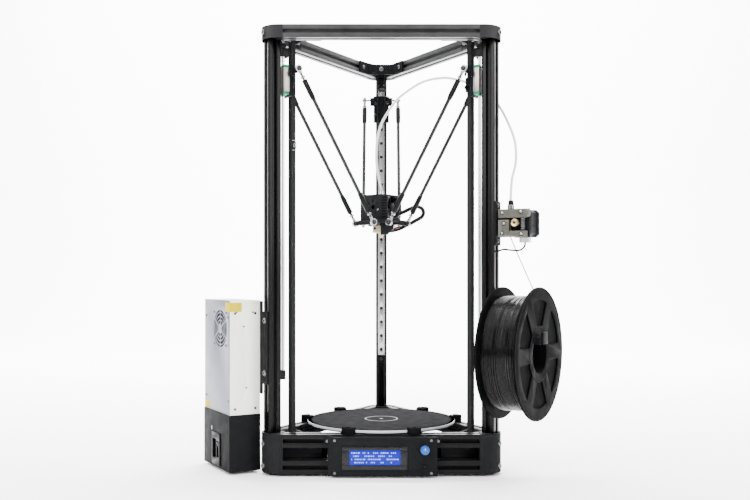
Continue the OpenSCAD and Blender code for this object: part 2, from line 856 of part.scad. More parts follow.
module extruder_bracket() {
    color("#232427") facing(RIGHT) difference() {
        union() {
            block([column_outer, -10, 350], [column_outer + 3, 10, 417]);
            block([column_outer + 2.9, 5, 362.5], [255, 7, 405.5]);
        }
        rod_y(23, 4, 8, extruder_axis, extruder_level);
        for (z = [357, 411])
            rod_x(5.4, column_outer - 1, column_outer + 4, -3, z);
    }
    // Pin and screw head on which the lower jaw turns
    color("#b9bbbe") facing(RIGHT) {
        rod_y(3, -5.2, 5.1, lever_pivot[0], lever_pivot[1]);
        translate([lever_pivot[0], -5.1, lever_pivot[1]]) rotate([0, 0, -90]) screw(5.6, 3, 0.05);
    }
}

// Fixed upper jaw of the feeder, with the fitting for the tube on top
module extruder_body() {
    front = -5;
    color("#7c7d72") facing(RIGHT) {
        difference() {
            union() {
                block([208, front, 391.5], [250, 4.95, 404.8]);
                translate([250, front, 398.1]) rotate([-90, 0, 0])
                    cylinder(d = 13.3, h = 9.95);
            }
            translate([filament_radius, 0, 380]) cylinder(d = 2.2, h = 40);
            rod_y(18.8, front - 1, 6, extruder_axis + 1, extruder_level - 2);
        }
        difference() {
            union() {
                translate([filament_radius, 0, 404.7]) cylinder(d = 8, h = 3, $fn = 6);
                translate([filament_radius, 0, 407.6]) cylinder(d = 6.6, h = 8);
                translate([filament_radius, 0, 415.5]) cylinder(d = 7.6, h = 2.4);
            }
            translate([filament_radius, 0, 404]) cylinder(d = 4.2, h = 15);
        }
        for (spot = [[214.4, 399], [244.8, 400.4]])
            translate([spot[0], front, spot[1]]) rotate([0, 0, -90]) screw(5.6, 3, 0.05);
    }
}

// Sprung lower jaw with the pinch bearing; it turns about its screw at the lower left
module extruder_lever() {
    front = -5;
    color("#75766b") facing(RIGHT) {
        difference() {
            union() {
                block([208, front, 362.8], [252, 4.6, 371.7]);
                block([208, front, 362.8], [225.4, 4.6, 388.6]);
            }
            rod_y(19.4, front - 1, 6, extruder_axis + 1, extruder_level - 2);
            rod_y(3.1, front - 1, 6, lever_pivot[0], lever_pivot[1]);
            translate([filament_radius, 0, 360]) cylinder(d = 3.4, h = 14);
        }
        for (spot = [[217.3, 383], [245, 366.8]])
            translate([spot[0], front, spot[1]]) rotate([0, 0, -90]) screw(5.6, 3, 0.05);
    }
}

// Compression spring between the two jaws, drawn as its outer cylinder with a hollow core
module extruder_spring() {
    color("#3a3b3e") facing(RIGHT) translate([246, 0, 371.8]) difference() {
        cylinder(d = 7.6, h = 19.6);
        translate([0, 0, -1]) cylinder(d = 4.6, h = 22);
    }
}

// Drive gear on the extruder motor's shaft
module extruder_gear() {
    color("#d6c48f") facing(RIGHT) {
        rod_y(11.4, -4.6, 3.4, extruder_axis, extruder_level);
        rod_y(5, -4.8, 44, extruder_axis, extruder_level);
    }
}

// ---------- spool ----------

// Bracket on the column with a saddle-shaped arm through the spool's hub
module spool_holder() {
    far = spool_inner + spool_width + 5;
    color("#1b1c1e") facing(RIGHT) {
        difference() {
            block([column_outer, -16, 160], [column_outer + 4, 16, 232]);
            for (z = [168, 224])
                rod_x(5.4, column_outer - 1, column_outer + 5, 0, z);
        }
        intersection() {
            rod_x(2 * hub_bore - 0.8, column_outer + 3.9, far, 0, spool_level);
            block([column_outer, -13, spool_level + 15], [far, 13, spool_level + 40]);
        }
        block([far - 0.1, -9, spool_level + 15], [far + 4, 9, spool_level + 33]);
        translate([column_outer + 4, 0, 0]) for (z = [168, 224])
            translate([0, 0, z]) screw(9, 5, 4);
    }
}

// Flange with six windows, its outer face at x = 0 and its thickness along +X
module spool_flange(thickness) {
    rim = spool_diameter / 2;
    difference() {
        rod_x(spool_diameter, 0, thickness, 0, 0);
        rod_x(2 * hub_bore, -1, thickness + 1, 0, 0);
        for (a = [0:60:300]) rotate([a, 0, 0]) difference() {
            intersection() {
                rod_x(2 * rim - 38, -1, thickness + 1, 0, 0);
                translate([-1, 0, 0]) rotate([90, 0, 90]) linear_extrude(thickness + 2)
                    polygon([[0, 22], [30, 77], [30, 100], [-30, 100], [-30, 77]]);
            }
            rod_x(2 * hub_bore + 22, -2, thickness + 2, 0, 0);
        }
    }
}

module spool() {
    color("#1a1b1d") facing(RIGHT) translate([spool_inner, 0, spool_level]) {
        spool_flange(3);
        translate([spool_width - 3, 0, 0]) spool_flange(3);
        difference() {
            rod_x(2 * hub_bore + 12, 0, spool_width, 0, 0);
            rod_x(2 * hub_bore, -1, spool_width + 1, 0, 0);
        }
    }
}

module wound_filament() {
    color("#1b1b1d") facing(RIGHT) translate([spool_inner, 0, spool_level]) difference() {
        rod_x(spool_diameter - 26, 3.1, spool_width - 3.1, 0, 0);
        rod_x(2 * hub_bore + 12.2, 2, spool_width - 2, 0, 0);
    }
}

// ---------- flexible pieces ----------

module bowden_tube() {
    color("#eeeeea") sweep(tube_route, 4, 3, 10);
}

module filament_strand() {
    color("#1b1b1d") sweep(strand_route, 1.75, 2, 8);
}

module extruder_cable() {
    color("#141416") sweep(cable_route, 3, 2, 8);
}

base_corners();
top_corners();
columns();
base_beams();
top_beams();
linear_rails();
drive_belts();
stepper_motors();
travel_stops();
frame_screws();
feet();
heater_bed();
build_plate();
bed_clips();
control_board();
lcd_panel();
lcd_module();
psu_case();
psu_terminal_cover();
power_inlet();
psu_bracket();
extruder_bracket();
extruder_body();
extruder_spring();
spool_holder();
bowden_tube();
filament_strand();
extruder_cable();
carriage_left();
carriage_right();
carriage_rear();
rail_block_left();
rail_block_right();
rail_block_rear();
rod_left_front();
rod_left_back();
rod_right_front();
rod_right_back();
rod_rear_left();
rod_rear_right();
effector_plate();
effector_shroud();
hotend();
wire_loom();
effector_fan();
motor_pulley_left();
motor_pulley_right();
motor_pulley_rear();
idler_pulley_left();
idler_pulley_right();
idler_pulley_rear();
spool();
wound_filament();
extruder_gear();
extruder_lever();
encoder_shaft();
encoder_knob();
reset_button();
power_switch();
psu_fan();
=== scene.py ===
import json
import math
import random

import bmesh
import bpy
from mathutils import Matrix, Vector

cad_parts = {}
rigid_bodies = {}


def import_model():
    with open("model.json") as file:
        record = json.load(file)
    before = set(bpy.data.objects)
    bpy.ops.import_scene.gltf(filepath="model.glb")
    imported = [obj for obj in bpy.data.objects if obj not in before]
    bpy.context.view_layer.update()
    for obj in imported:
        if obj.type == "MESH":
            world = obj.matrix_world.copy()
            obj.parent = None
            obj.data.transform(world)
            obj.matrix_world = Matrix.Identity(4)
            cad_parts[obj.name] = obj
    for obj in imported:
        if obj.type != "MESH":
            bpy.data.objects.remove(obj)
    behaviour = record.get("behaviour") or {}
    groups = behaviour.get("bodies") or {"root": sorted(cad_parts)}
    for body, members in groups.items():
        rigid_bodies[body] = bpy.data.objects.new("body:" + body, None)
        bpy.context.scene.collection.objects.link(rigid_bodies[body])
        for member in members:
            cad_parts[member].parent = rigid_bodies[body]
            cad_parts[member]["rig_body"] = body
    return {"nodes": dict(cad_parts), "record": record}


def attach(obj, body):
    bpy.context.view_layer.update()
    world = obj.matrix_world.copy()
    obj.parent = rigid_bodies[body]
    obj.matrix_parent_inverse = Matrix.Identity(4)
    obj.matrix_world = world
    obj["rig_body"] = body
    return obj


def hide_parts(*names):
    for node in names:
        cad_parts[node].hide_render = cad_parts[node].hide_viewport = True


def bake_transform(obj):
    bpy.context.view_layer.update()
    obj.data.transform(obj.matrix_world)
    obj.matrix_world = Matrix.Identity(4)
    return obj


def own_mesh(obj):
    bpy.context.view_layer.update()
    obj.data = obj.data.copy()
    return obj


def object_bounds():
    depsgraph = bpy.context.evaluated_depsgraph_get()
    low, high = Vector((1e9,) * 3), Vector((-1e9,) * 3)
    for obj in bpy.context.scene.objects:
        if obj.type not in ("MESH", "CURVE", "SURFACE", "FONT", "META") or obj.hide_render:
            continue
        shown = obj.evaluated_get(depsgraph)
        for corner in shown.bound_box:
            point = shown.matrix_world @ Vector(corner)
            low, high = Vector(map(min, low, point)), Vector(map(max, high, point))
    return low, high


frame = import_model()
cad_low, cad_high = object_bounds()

# ---------- sizes, in millimetres above the floor ----------

MM = 0.001
FLOOR = cad_low.z
LEFT, RIGHT, REAR = 210, 330, 90
TOWERS = {"left": LEFT, "right": RIGHT, "rear": REAR}

FRAME_HEIGHT = (cad_high.z - cad_low.z) / MM
COLUMN_RADIUS = 193
COLUMN_OUTER = COLUMN_RADIUS + 10
COLUMN_INNER = COLUMN_RADIUS - 10
PLATE_RADIUS = 150
BUILD_LEVEL = -FLOOR / MM
BASE_TOP = BUILD_LEVEL - 6
MOTOR_LEVEL = 34
IDLER_LEVEL = FRAME_HEIGHT - 10.5
RAIL_FACE = COLUMN_INNER - 8
RAIL_BOTTOM = 159
RAIL_TOP = 640

CARRIAGE_LEVEL = 619.4
BLOCK_MIDDLE = CARRIAGE_LEVEL - 15
BLOCK_LENGTH = 45.4
JOINT_RADIUS = 162.7
ARM_HALF = 30
BALL = 7.4
ROD_LENGTH = 265
EFFECTOR_OFFSET = 31.6
ROD_DROP = math.sqrt(ROD_LENGTH**2 - (JOINT_RADIUS - EFFECTOR_OFFSET) ** 2)
ROD_TILT = math.acos(ROD_DROP / ROD_LENGTH)
TOOL_LEVEL = CARRIAGE_LEVEL - ROD_DROP
SHROUD_BOTTOM = TOOL_LEVEL + 4.7
SHROUD_TOP = TOOL_LEVEL + 46
FAN_LEVEL = TOOL_LEVEL + 25.5
SHROUD_TURN = -30

BELT_RADIUS = 160
BELT_WIDTH = 6
BELT_INNER = 5.75
BELT_OUTER = 7.15
BELT_PITCH = 2
CLIP_LEVELS = {"left": 497, "right": 526, "rear": 512}

EXTRUDER_AXIS = 233.8
EXTRUDER_LEVEL = 384
FILAMENT_RADIUS = 226.8
LEVER_PIVOT = (214.4, 368.3)

SPOOL_INNER = COLUMN_OUTER + 8
SPOOL_LEVEL = 187
SPOOL_WIDTH = 62
SPOOL_RADIUS = 100
HUB_BORE = 29
WOUND_RADIUS = SPOOL_RADIUS - 13

SUPPLY_INNER = COLUMN_OUTER + 2
SUPPLY_OUTER = SUPPLY_INNER + 49
SUPPLY_FRONT = -20
SUPPLY_BACK = SUPPLY_FRONT - 112

PANEL_FRONT = -130
PANEL_BACK = PANEL_FRONT + 3
KNOB_PLACE = (65.5, 43)


def facing(direction):
    """From a tower's own millimetres, standing on the floor, to the shared frame in metres."""
    turn = Matrix.Rotation(math.radians(direction), 4, "Z")
    return turn @ Matrix.Translation((0, 0, FLOOR)) @ Matrix.Scale(MM, 4)


def shift(x, y, z):
    return Matrix.Translation((x, y, z))


def spin(degrees, axis):
    return Matrix.Rotation(math.radians(degrees), 4, axis)


PRINTER = facing(0)

# ---------- camera ----------


def make_camera():
    data = bpy.data.cameras.new("camera")
    data.sensor_width = 36
    data.lens = 45.4
    data.shift_x = -0.0084
    data.shift_y = 0.0301
    camera = bpy.data.objects.new("camera", data)
    camera.location = (0, -1.5467, 0.2386)
    camera.rotation_euler = (math.pi / 2, 0, 0)
    bpy.context.scene.collection.objects.link(camera)
    bpy.context.scene.camera = camera


make_camera()

# ---------- materials ----------


def mix_colours(tree, factor, a, b):
    """A node that goes from colour a to colour b; each is a socket or a plain colour."""
    node = tree.nodes.new("ShaderNodeMix")
    node.data_type = "RGBA"
    for socket, value in ((node.inputs[0], factor), (node.inputs[6], a), (node.inputs[7], b)):
        if isinstance(value, bpy.types.NodeSocket):
            tree.links.new(value, socket)
        else:
            socket.default_value = value
    return node.outputs[2]


def noise(tree, vector, scale, detail=4.0, roughness=0.55):
    node = tree.nodes.new("ShaderNodeTexNoise")
    node.inputs["Scale"].default_value = scale
    node.inputs["Detail"].default_value = detail
    node.inputs["Roughness"].default_value = roughness
    tree.links.new(vector, node.inputs["Vector"])
    return node.outputs["Fac"]


def spread(tree, value, low, high, from_low=0.3, from_high=0.7):
    """The value, stretched from its own range to low...high."""
    node = tree.nodes.new("ShaderNodeMapRange")
    node.inputs["From Min"].default_value = from_low
    node.inputs["From Max"].default_value = from_high
    node.inputs["To Min"].default_value = low
    node.inputs["To Max"].default_value = high
    tree.links.new(value, node.inputs["Value"])
    return node.outputs["Result"]


def arithmetic(tree, operation, a, b=None):
    node = tree.nodes.new("ShaderNodeMath")
    node.operation = operation
    for socket, value in zip(node.inputs, (a, b)):
        if isinstance(value, bpy.types.NodeSocket):
            tree.links.new(value, socket)
        elif value is not None:
            socket.default_value = value
    return node.outputs[0]


def shade(colour, factor):
    return tuple(min(1.0, c * factor) for c in colour[:3]) + (1.0,)


def surface(
    name, colour, rough, metal=0.0, vary=0.2, patch=55, grain=1500, relief=0.15,
    stretch=(1, 1, 1), edge_wear_and_highlight=0.04, coat=0.0, specular=0.08,
):
    """A finish with uneven colour and gloss, fine relief, paler edges that are both edge rubbing and a
    painted highlight, and dust on top.
    """
    material = bpy.data.materials.new(name)
    material.use_nodes = True
    tree = material.node_tree
    shader = tree.nodes["Principled BSDF"]
    where = tree.nodes.new("ShaderNodeTexCoord")
    mapping = tree.nodes.new("ShaderNodeMapping")
    mapping.inputs["Scale"].default_value = stretch
    tree.links.new(where.outputs["Object"], mapping.inputs["Vector"])
    vector = mapping.outputs["Vector"]
    patches = noise(tree, vector, patch)
    fine = noise(tree, vector, grain, 2.0)
    body = mix_colours(
        tree, spread(tree, patches, 0, 1), shade(colour, 1 - vary), shade(colour, 1 + vary)
    )
    geometry = tree.nodes.new("ShaderNodeNewGeometry")
    # Paler edges are partly real edge rubbing and partly a painted highlight along the edges.
    edges = spread(tree, geometry.outputs["Pointiness"], 0, edge_wear_and_highlight, 0.53, 0.7)
    rubbed_and_highlit = arithmetic(tree, "MULTIPLY", edges, spread(tree, fine, 0.4, 1.0))
    edge_wear_and_highlight_colour = tuple(c + (0.5 - c) * 0.25 for c in colour[:3]) + (1.0,)
    body_with_worn_and_highlit_edges = mix_colours(tree, rubbed_and_highlit, body, edge_wear_and_highlight_colour)
    height = tree.nodes.new("ShaderNodeSeparateXYZ")
    tree.links.new(geometry.outputs["Normal"], height.inputs["Vector"])
    upward = spread(tree, height.outputs["Z"], 0, 0.012, 0.6, 1.0)
    dust = arithmetic(tree, "MULTIPLY", upward, spread(tree, patches, 0.2, 1.0))
    tree.links.new(
        mix_colours(tree, dust, body_with_worn_and_highlit_edges, (0.6, 0.6, 0.58, 1.0)), shader.inputs["Base Color"]
    )
    gloss = arithmetic(
        tree, "ADD", spread(tree, patches, rough * 0.85, rough * 1.15),
        spread(tree, fine, -0.03, 0.03),
    )
    tree.links.new(gloss, shader.inputs["Roughness"])
    shader.inputs["Metallic"].default_value = metal
    shader.inputs["Specular IOR Level"].default_value = specular
    shader.inputs["Coat Weight"].default_value = coat
    bump = tree.nodes.new("ShaderNodeBump")
    bump.inputs["Strength"].default_value = relief
    bump.inputs["Distance"].default_value = 0.0002
    tree.links.new(fine, bump.inputs["Height"])
    tree.links.new(bump.outputs["Normal"], shader.inputs["Normal"])
    return material


def plate_surface():
    """Dark coated bed with a pale ring round its centre point."""
    material = surface(
        "plate_top", (0.012, 0.012, 0.013), 0.8, vary=0.1, grain=2600, relief=0.3, specular=0.0
    )
    tree = material.node_tree
    shader = tree.nodes["Principled BSDF"]
    place = tree.nodes.new("ShaderNodeTexCoord").outputs["Object"]
    apart = tree.nodes.new("ShaderNodeSeparateXYZ")
    tree.links.new(place, apart.inputs["Vector"])
    squares = [arithmetic(tree, "POWER", apart.outputs[k], 2) for k in ("X", "Y")]
    distance = arithmetic(tree, "SQRT", arithmetic(tree, "ADD", *squares))
    marks = None
    for radius, half_width in ((0.026, 0.0011), (0.0015, 0.0015)):
        offset = arithmetic(tree, "ABSOLUTE", arithmetic(tree, "SUBTRACT", distance, radius))
        ring = arithmetic(tree, "LESS_THAN", offset, half_width)
        marks = ring if marks is None else arithmetic(tree, "MAXIMUM", marks, ring)
    coloured = shader.inputs["Base Color"].links[0].from_socket
    tree.links.new(
        mix_colours(tree, marks, coloured, (0.2, 0.2, 0.2, 1)), shader.inputs["Base Color"]
    )
    return material


def screen_surface(name, colour, strength):
    """Lit display glass with a faint grid of dots."""
    material = surface(name, colour, 0.3, vary=0.08, grain=3000, relief=0.02, coat=0.1)
    tree = material.node_tree
    shader = tree.nodes["Principled BSDF"]
    place = tree.nodes.new("ShaderNodeTexCoord").outputs["Object"]
    dots = tree.nodes.new("ShaderNodeTexChecker")
    dots.inputs["Scale"].default_value = 2200
    dots.inputs["Color1"].default_value = shade(colour, 1.0)
    dots.inputs["Color2"].default_value = shade(colour, 0.8)
    tree.links.new(place, dots.inputs["Vector"])
    tree.links.new(dots.outputs["Color"], shader.inputs["Emission Color"])
    shader.inputs["Emission Strength"].default_value = strength
    return material


ALONG_Z = (6, 6, 0.25)

CASTING = surface("casting", (0.005, 0.0052, 0.006), 0.6, grain=2200, relief=0.35, specular=0.03)
EXTRUSION = surface(
    "extrusion", (0.0016, 0.0016, 0.0018), 0.26, grain=900, relief=0.08, stretch=ALONG_Z, specular=0.1
)
BEAM_BLACK = surface("beam_black", (0.0012, 0.0012, 0.0014), 0.35, grain=1200, edge_wear_and_highlight=0.3, specular=0.03)
RAIL_STEEL = surface("rail_steel", (0.55, 0.55, 0.56), 0.24, 1.0, 0.08, 40, 700, 0.08, ALONG_Z)
BRIGHT_STEEL = surface("bright_steel", (0.22, 0.22, 0.225), 0.24, 1.0, vary=0.2)
DARK_STEEL = surface("dark_steel", (0.035, 0.035, 0.04), 0.3, 1.0)
# Painted light: a far paler copy of the beam black for the top beams, standing for the light they catch from
# above.
PAINTED_LIT_TOP_BEAM = surface("top_beam", (0.022, 0.022, 0.023), 0.4, grain=1200, edge_wear_and_highlight=0.4, specular=0.15)
BELT = surface("belt", (0.006, 0.006, 0.0065), 0.7, grain=3500, relief=0.5, edge_wear_and_highlight=0.15)
MOTOR_BELL = surface("motor_bell", (0.0035, 0.0037, 0.0045), 0.5, grain=1500, relief=0.3, specular=0.02)
MOTOR_CORE = surface(
    "motor_core", (0.004, 0.004, 0.005), 0.5, grain=1800, relief=0.5, stretch=(0.2, 0.2, 4), specular=0.02
)
PLASTIC = surface("plastic", (0.004, 0.004, 0.0045), 0.36, grain=2600, relief=0.2)
GLOSSY = surface("glossy", (0.002, 0.002, 0.0025), 0.3, grain=1200, relief=0.05, specular=0.04)
WHITE_PLASTIC = surface("white_plastic", (0.82, 0.81, 0.77), 0.45, vary=0.05)
RUBBER = surface("rubber", (0.006, 0.006, 0.006), 0.75, grain=2000, relief=0.5)
SCREW = surface("screw", (0.12, 0.12, 0.125), 0.26, 1.0, vary=0.15)
HEATER = surface("heater", (0.03, 0.03, 0.034), 0.5, 0.3)
PLATE_TOP = plate_surface()
PLATE_RIM = surface("plate_rim", (0.4, 0.41, 0.42), 0.2, vary=0.05, specular=0.3)
BOARD = surface("board", (0.01, 0.085, 0.035), 0.35, grain=900, relief=0.25, coat=0.3)
GOLD_PADS = surface("gold_pads", (0.8, 0.58, 0.25), 0.3, 1.0)
PANEL = surface("panel", (0.004, 0.0042, 0.005), 0.6, grain=2600, relief=0.4, specular=0.05)
BEZEL = surface("bezel", (0.003, 0.003, 0.004), 0.3, specular=0.2)
SCREEN = screen_surface("screen", (0.003, 0.006, 0.24), 0.3)
SCREEN_MARK = screen_surface("screen_mark", (0.16, 0.24, 0.75), 0.7)
SUPPLY = surface("supply", (0.15, 0.15, 0.182), 0.38, 0.4, 0.06, 30, 1600, 0.12)
# Painted light: a pale copy of the case finish for the case's narrow ends, a painted highlight on the forward
# end.
SUPPLY_PAINTED_LIT_END = surface("supply_end_painted_lit", (0.86, 0.86, 0.76), 0.45, 0.0, 0.03, 30, 1600, 0.1)
LABEL = surface("label", (0.5, 0.38, 0.0), 0.5, vary=0.04, grain=500, relief=0.2, edge_wear_and_highlight=0.0, specular=0.02)
ALLOY = surface("alloy", (0.07, 0.069, 0.056), 0.55, 0.3, 0.2, 90, 3200, 0.8, edge_wear_and_highlight=0.5)
BRASS = surface("brass", (0.5, 0.38, 0.17), 0.28, 1.0, vary=0.15)
SPRING = surface("spring", (0.16, 0.16, 0.17), 0.3, 1.0)
WHITE_TUBE = surface("white_tube", (0.62, 0.62, 0.6), 0.32, vary=0.05, grain=400, relief=0.05)
FILAMENT = surface("filament", (0.0012, 0.0012, 0.0014), 0.22, grain=700, relief=0.05, specular=0.16)
SPOOL_BLACK = surface("spool_black", (0.0025, 0.0025, 0.0028), 0.5, grain=1800, relief=0.12, specular=0.006)
CARBON = surface(
    "carbon", (0.003, 0.003, 0.0035), 0.26, grain=1600, relief=0.4, stretch=(1, 1, 0.4), specular=0.25
)
BLOCK_STEEL = surface("block_steel", (0.26, 0.235, 0.2), 0.34, 1.0, vary=0.12)
SEAL_GREEN = surface("seal_green", (0.008, 0.13, 0.07), 0.4, vary=0.12)
CLIP = surface("clip", (0.004, 0.004, 0.0045), 0.7, relief=0.2, specular=0.0)
SHROUD = surface("shroud", (0.009, 0.0092, 0.010), 0.6, grain=2600, relief=0.4, specular=0.05)
WOUND_SIDE = surface("wound_side", (0.002, 0.002, 0.0024), 0.6, grain=900, relief=0.3, specular=0.006)
PULLEY = surface("pulley", (0.6, 0.6, 0.62), 0.26, 1.0)
SOCK = surface("sock", (0.5, 0.43, 0.31), 0.65, vary=0.15, grain=1200, relief=0.5)
KNOB = surface("knob", (0.004, 0.06, 0.26), 0.34, vary=0.1, specular=0.3)
WIRE_RED = surface("wire_red", (0.12, 0.006, 0.012), 0.4)
WIRE_DARK = surface("wire_dark", (0.006, 0.006, 0.0065), 0.5, grain=900, relief=0.6)
MARK = surface("mark", (0.8, 0.8, 0.8), 0.5, vary=0.05)

SLOTS = {s["node"]: s["material_slot"] for s in frame["record"]["subparts"]}
NODE_BODY = {n: o["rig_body"] for n, o in frame["nodes"].items()}

# ---------- mesh building ----------


def publish(bm, name, materials, body, stands_for=(), sharp=32):
    """Makes a mesh object of bm, shaded smooth up to the given angle, riding on its body."""
    bmesh.ops.recalc_face_normals(bm, faces=bm.faces)
    mesh = bpy.data.meshes.new(name)
    bm.to_mesh(mesh)
    bm.free()
    for material in materials:
        mesh.materials.append(material)
    mesh.shade_smooth()
    mesh.set_sharp_from_angle(angle=math.radians(sharp))
    obj = bpy.data.objects.new(name, mesh)
    bpy.context.scene.collection.objects.link(obj)
    if body:
        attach(obj, body)
    if stands_for:
        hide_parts(*stands_for)
    return obj


def islands(bm):
    """The separate connected shells of bm, as lists of vertices."""
    waiting = set(bm.verts)
    found = []
    while waiting:
        start = waiting.pop()
        shell, stack = [start], [start]
        while stack:
            for edge in stack.pop().link_edges:
                for v in edge.verts:
                    if v in waiting:
                        waiting.remove(v)
                        shell.append(v)
                        stack.append(v)
        found.append(shell)
    return found


def soften(bm, width, angle=30):
    """Bevels every edge sharper than the angle, one shell at a time."""
    limit = math.radians(angle)
    for shell in islands(bm):
        edges = {e for v in shell if v.is_valid for e in v.link_edges}
        sharp = [e for e in edges if len(e.link_faces) == 2 and e.calc_face_angle() > limit]
        if sharp:
            bmesh.ops.bevel(
                bm, geom=sharp, offset=width, segments=2, profile=0.6, affect="EDGES",
                clamp_overlap=True,
            )


def refine(node, *materials, rule=None, bevel=0.35):
    """A finished copy of a CAD node: welded, with softened edges, painted face by face by the rule."""
    bm = bmesh.new()
    bm.from_mesh(frame["nodes"][node].data)
    bmesh.ops.remove_doubles(bm, verts=bm.verts, dist=2e-6)
    bmesh.ops.dissolve_limit(bm, angle_limit=math.radians(1), verts=bm.verts, edges=bm.edges)
    soften(bm, bevel * MM)
    for face in bm.faces:
        face.material_index = rule(face.calc_center_median()) if rule else 0
    return publish(bm, f"{node}_finish", materials, NODE_BODY[node], (node,))


class Part:
    """A mesh under construction in one local frame, in millimetres."""

    def __init__(self, place=PRINTER):
        self.bm = bmesh.new()
        self.place = place
        self.materials = []
        self.index = 0

    def use(self, material):
        if material not in self.materials:
            self.materials.append(material)
        self.index = self.materials.index(material)
        return self

    def paint(self, faces):
        for face in faces:
            face.material_index = self.index

    def skin(self, rings, closed=False, cap=True, place=None):
        """Joins rings of points, each ring as long as the next; cap closes the two ends."""
        place = place or Matrix.Identity(4)
        rows = [[self.bm.verts.new(place @ Vector(p)) for p in ring] for ring in rings]
        pairs = list(zip(rows, rows[1:])) + ([(rows[-1], rows[0])] if closed else [])
        faces = []
        for a, b in pairs:
            count = len(a)
            for k in range(count):
                n = (k + 1) % count
                faces.append(self.bm.faces.new((a[k], a[n], b[n], b[k])))
        if cap and not closed:
            faces.append(self.bm.faces.new(rows[0][::-1]))
            faces.append(self.bm.faces.new(rows[-1]))
        self.paint(faces)
        return self

    def box(self, low, high, bevel=0.3, place=None):
        """A block with rounded edges."""
        solid = bmesh.new()
        x, y, z = zip(low, high)
        corners = [[(a, b, c) for a, b in zip((0, 1, 1, 0), (0, 0, 1, 1))] for c in (0, 1)]
        rows = [[solid.verts.new((x[a], y[b], z[c])) for a, b, c in row] for row in corners]
        for k in range(4):
            n = (k + 1) % 4
            solid.faces.new((rows[0][k], rows[0][n], rows[1][n], rows[1][k]))
        solid.faces.new(rows[0][::-1])
        solid.faces.new(rows[1])
        if bevel:
            bmesh.ops.bevel(
                solid, geom=solid.edges[:], offset=bevel, segments=2, profile=0.6,
                affect="EDGES", clamp_overlap=True,
            )
        return self.absorb(solid, place)

    def absorb(self, other, place=None):
        """Takes over a finished bmesh."""
        if place:
            other.transform(place)
        made = {v: self.bm.verts.new(v.co) for v in other.verts}
        self.paint([self.bm.faces.new([made[v] for v in f.verts]) for f in other.faces])
        other.free()
        return self

    def lathe(self, profile, place=None, sides=32, closed=False, shape=None):
        """Turns (distance, radius) pairs about Z. shape(angle, ring) scales a ring's radius."""
        rings = []
        for number, (z, radius) in enumerate(profile):
            ring = []
            for k in range(sides):
                a = 2 * math.pi * k / sides
                r = radius * (shape(a, number) if shape else 1)
                ring.append((r * math.cos(a), r * math.sin(a), z))
            rings.append(ring)
        return self.skin(rings, closed, place=place)

    def tube(self, points, radius, sides=10, cap=True):
        """A round tube along points; its cross-section doesn't twist."""
        points = [Vector(p) for p in points]
        side = None
        rings = []
        for i, p in enumerate(points):
            along = (points[min(i + 1, len(points) - 1)] - points[max(i - 1, 0)]).normalized()
            if side is None:
                side = along.orthogonal().normalized()
            side = (side - along * side.dot(along)).normalized()
            up = along.cross(side)
            rings.append([
                p + radius * (math.cos(a) * side + math.sin(a) * up)
                for a in (2 * math.pi * k / sides for k in range(sides))
            ])
        return self.skin(rings, cap=cap)

    def finish(self, name, body, stands_for=(), sharp=32):
        self.bm.transform(self.place)
        return publish(self.bm, name, self.materials, body, stands_for, sharp)


def aimed(at, towards):
    """A frame at a point whose Z looks the given way."""
    turn = Vector(towards).to_track_quat("Z", "Y").to_matrix().to_4x4()
    return shift(*at) @ turn


def hexagon(angle):
    """A hexagon's radius in a direction, where its flats are 1 from the centre."""
    return 1 / math.cos((angle + math.pi / 6) % (math.pi / 3) - math.pi / 6)


def screw_head(part, at, towards, head, material=None):
    """A domed screw head with a hexagon socket, standing on a face."""
    part.use(material or SCREW)
    radius, height = head / 2 + 0.06, head * 0.3
    socket = head * 0.2
    arc = [math.radians(a) for a in (0, 18, 36, 54, 70)]
    dome = [(0.02, radius)] + [
        (height * (0.25 + 0.77 * math.sin(a)), radius * (0.66 + 0.34 * math.cos(a))) for a in arc
    ]
    well = [(height * 1.02, socket * 1.12), (height * 0.92, socket), (height * 0.3, socket * 0.97)]
    first = len(dome)
    part.lathe(
        dome + well, aimed(at, towards), 24,
        shape=lambda a, ring: hexagon(a) if ring >= first else 1,
    )


def local(place, p):
    """A point of the shared frame in a local frame's millimetres."""
    return place.inverted() @ p


def catmull(p, i, t):
    """A point on the smooth curve through a route, between its points i and i + 1."""
    a, b, c, d = (Vector(p[k]) for k in (max(i - 1, 0), i, i + 1, min(i + 2, len(p) - 1)))
    return (
        2 * b + (c - a) * t + (2 * a - 5 * b + 4 * c - d) * t**2 + (3 * b - a - 3 * c + d) * t**3
    ) / 2


def smooth_route(route, steps=6):
    """The route in metres, with a smooth curve between its points."""
    points = [catmull(route, i, s / steps) for i in range(len(route) - 1) for s in range(steps)]
    return [p * MM for p in points + [Vector(route[-1])]]


def path_length(points):
    return sum((b - a).length for a, b in zip(points, points[1:]))


# ---------- cords ----------

TUBE_ROUTE = [
    (196, -113, 348), (198, -112, 379), (205, -106, 410), (203, -92, 449), (182, -66, 503),
    (154, -44, 533), (117, -25, 550), (93, -16, 553), (66, -8, 548), (39, -3, 532),
    (24, -1, 519), (11, 0, 501), (0, 0, 481), (-7, 0, 454), (-8, 0, 419), (-4, 0, 393),
    (0, 0, 372.5),
]
STRAND_ROUTE = [(196, -113, 292), (213, -104, 255), (237, -85, 208), (262, -62, 163)]
CABLE_ROUTE = [
    (223, -82, 285), (221, -83, 278), (213, -87, 273), (200, -94, 273), (188, -99, 274),
    (180, -102, 272), (174, -100, 270),
]
LOOM_ROUTE = [
    (14, 15, 334), (22, 23, 335), (34, 26, 338), (47, 24, 344), (58, 23, 348), (67, 23, 345),
    (70, 23, 338), (67, 23, 331), (59, 23, 326), (50, 22, 321), (40, 19, 316), (30, 13, 311),
    (20, 7, 308), (12, 3, 307),
]


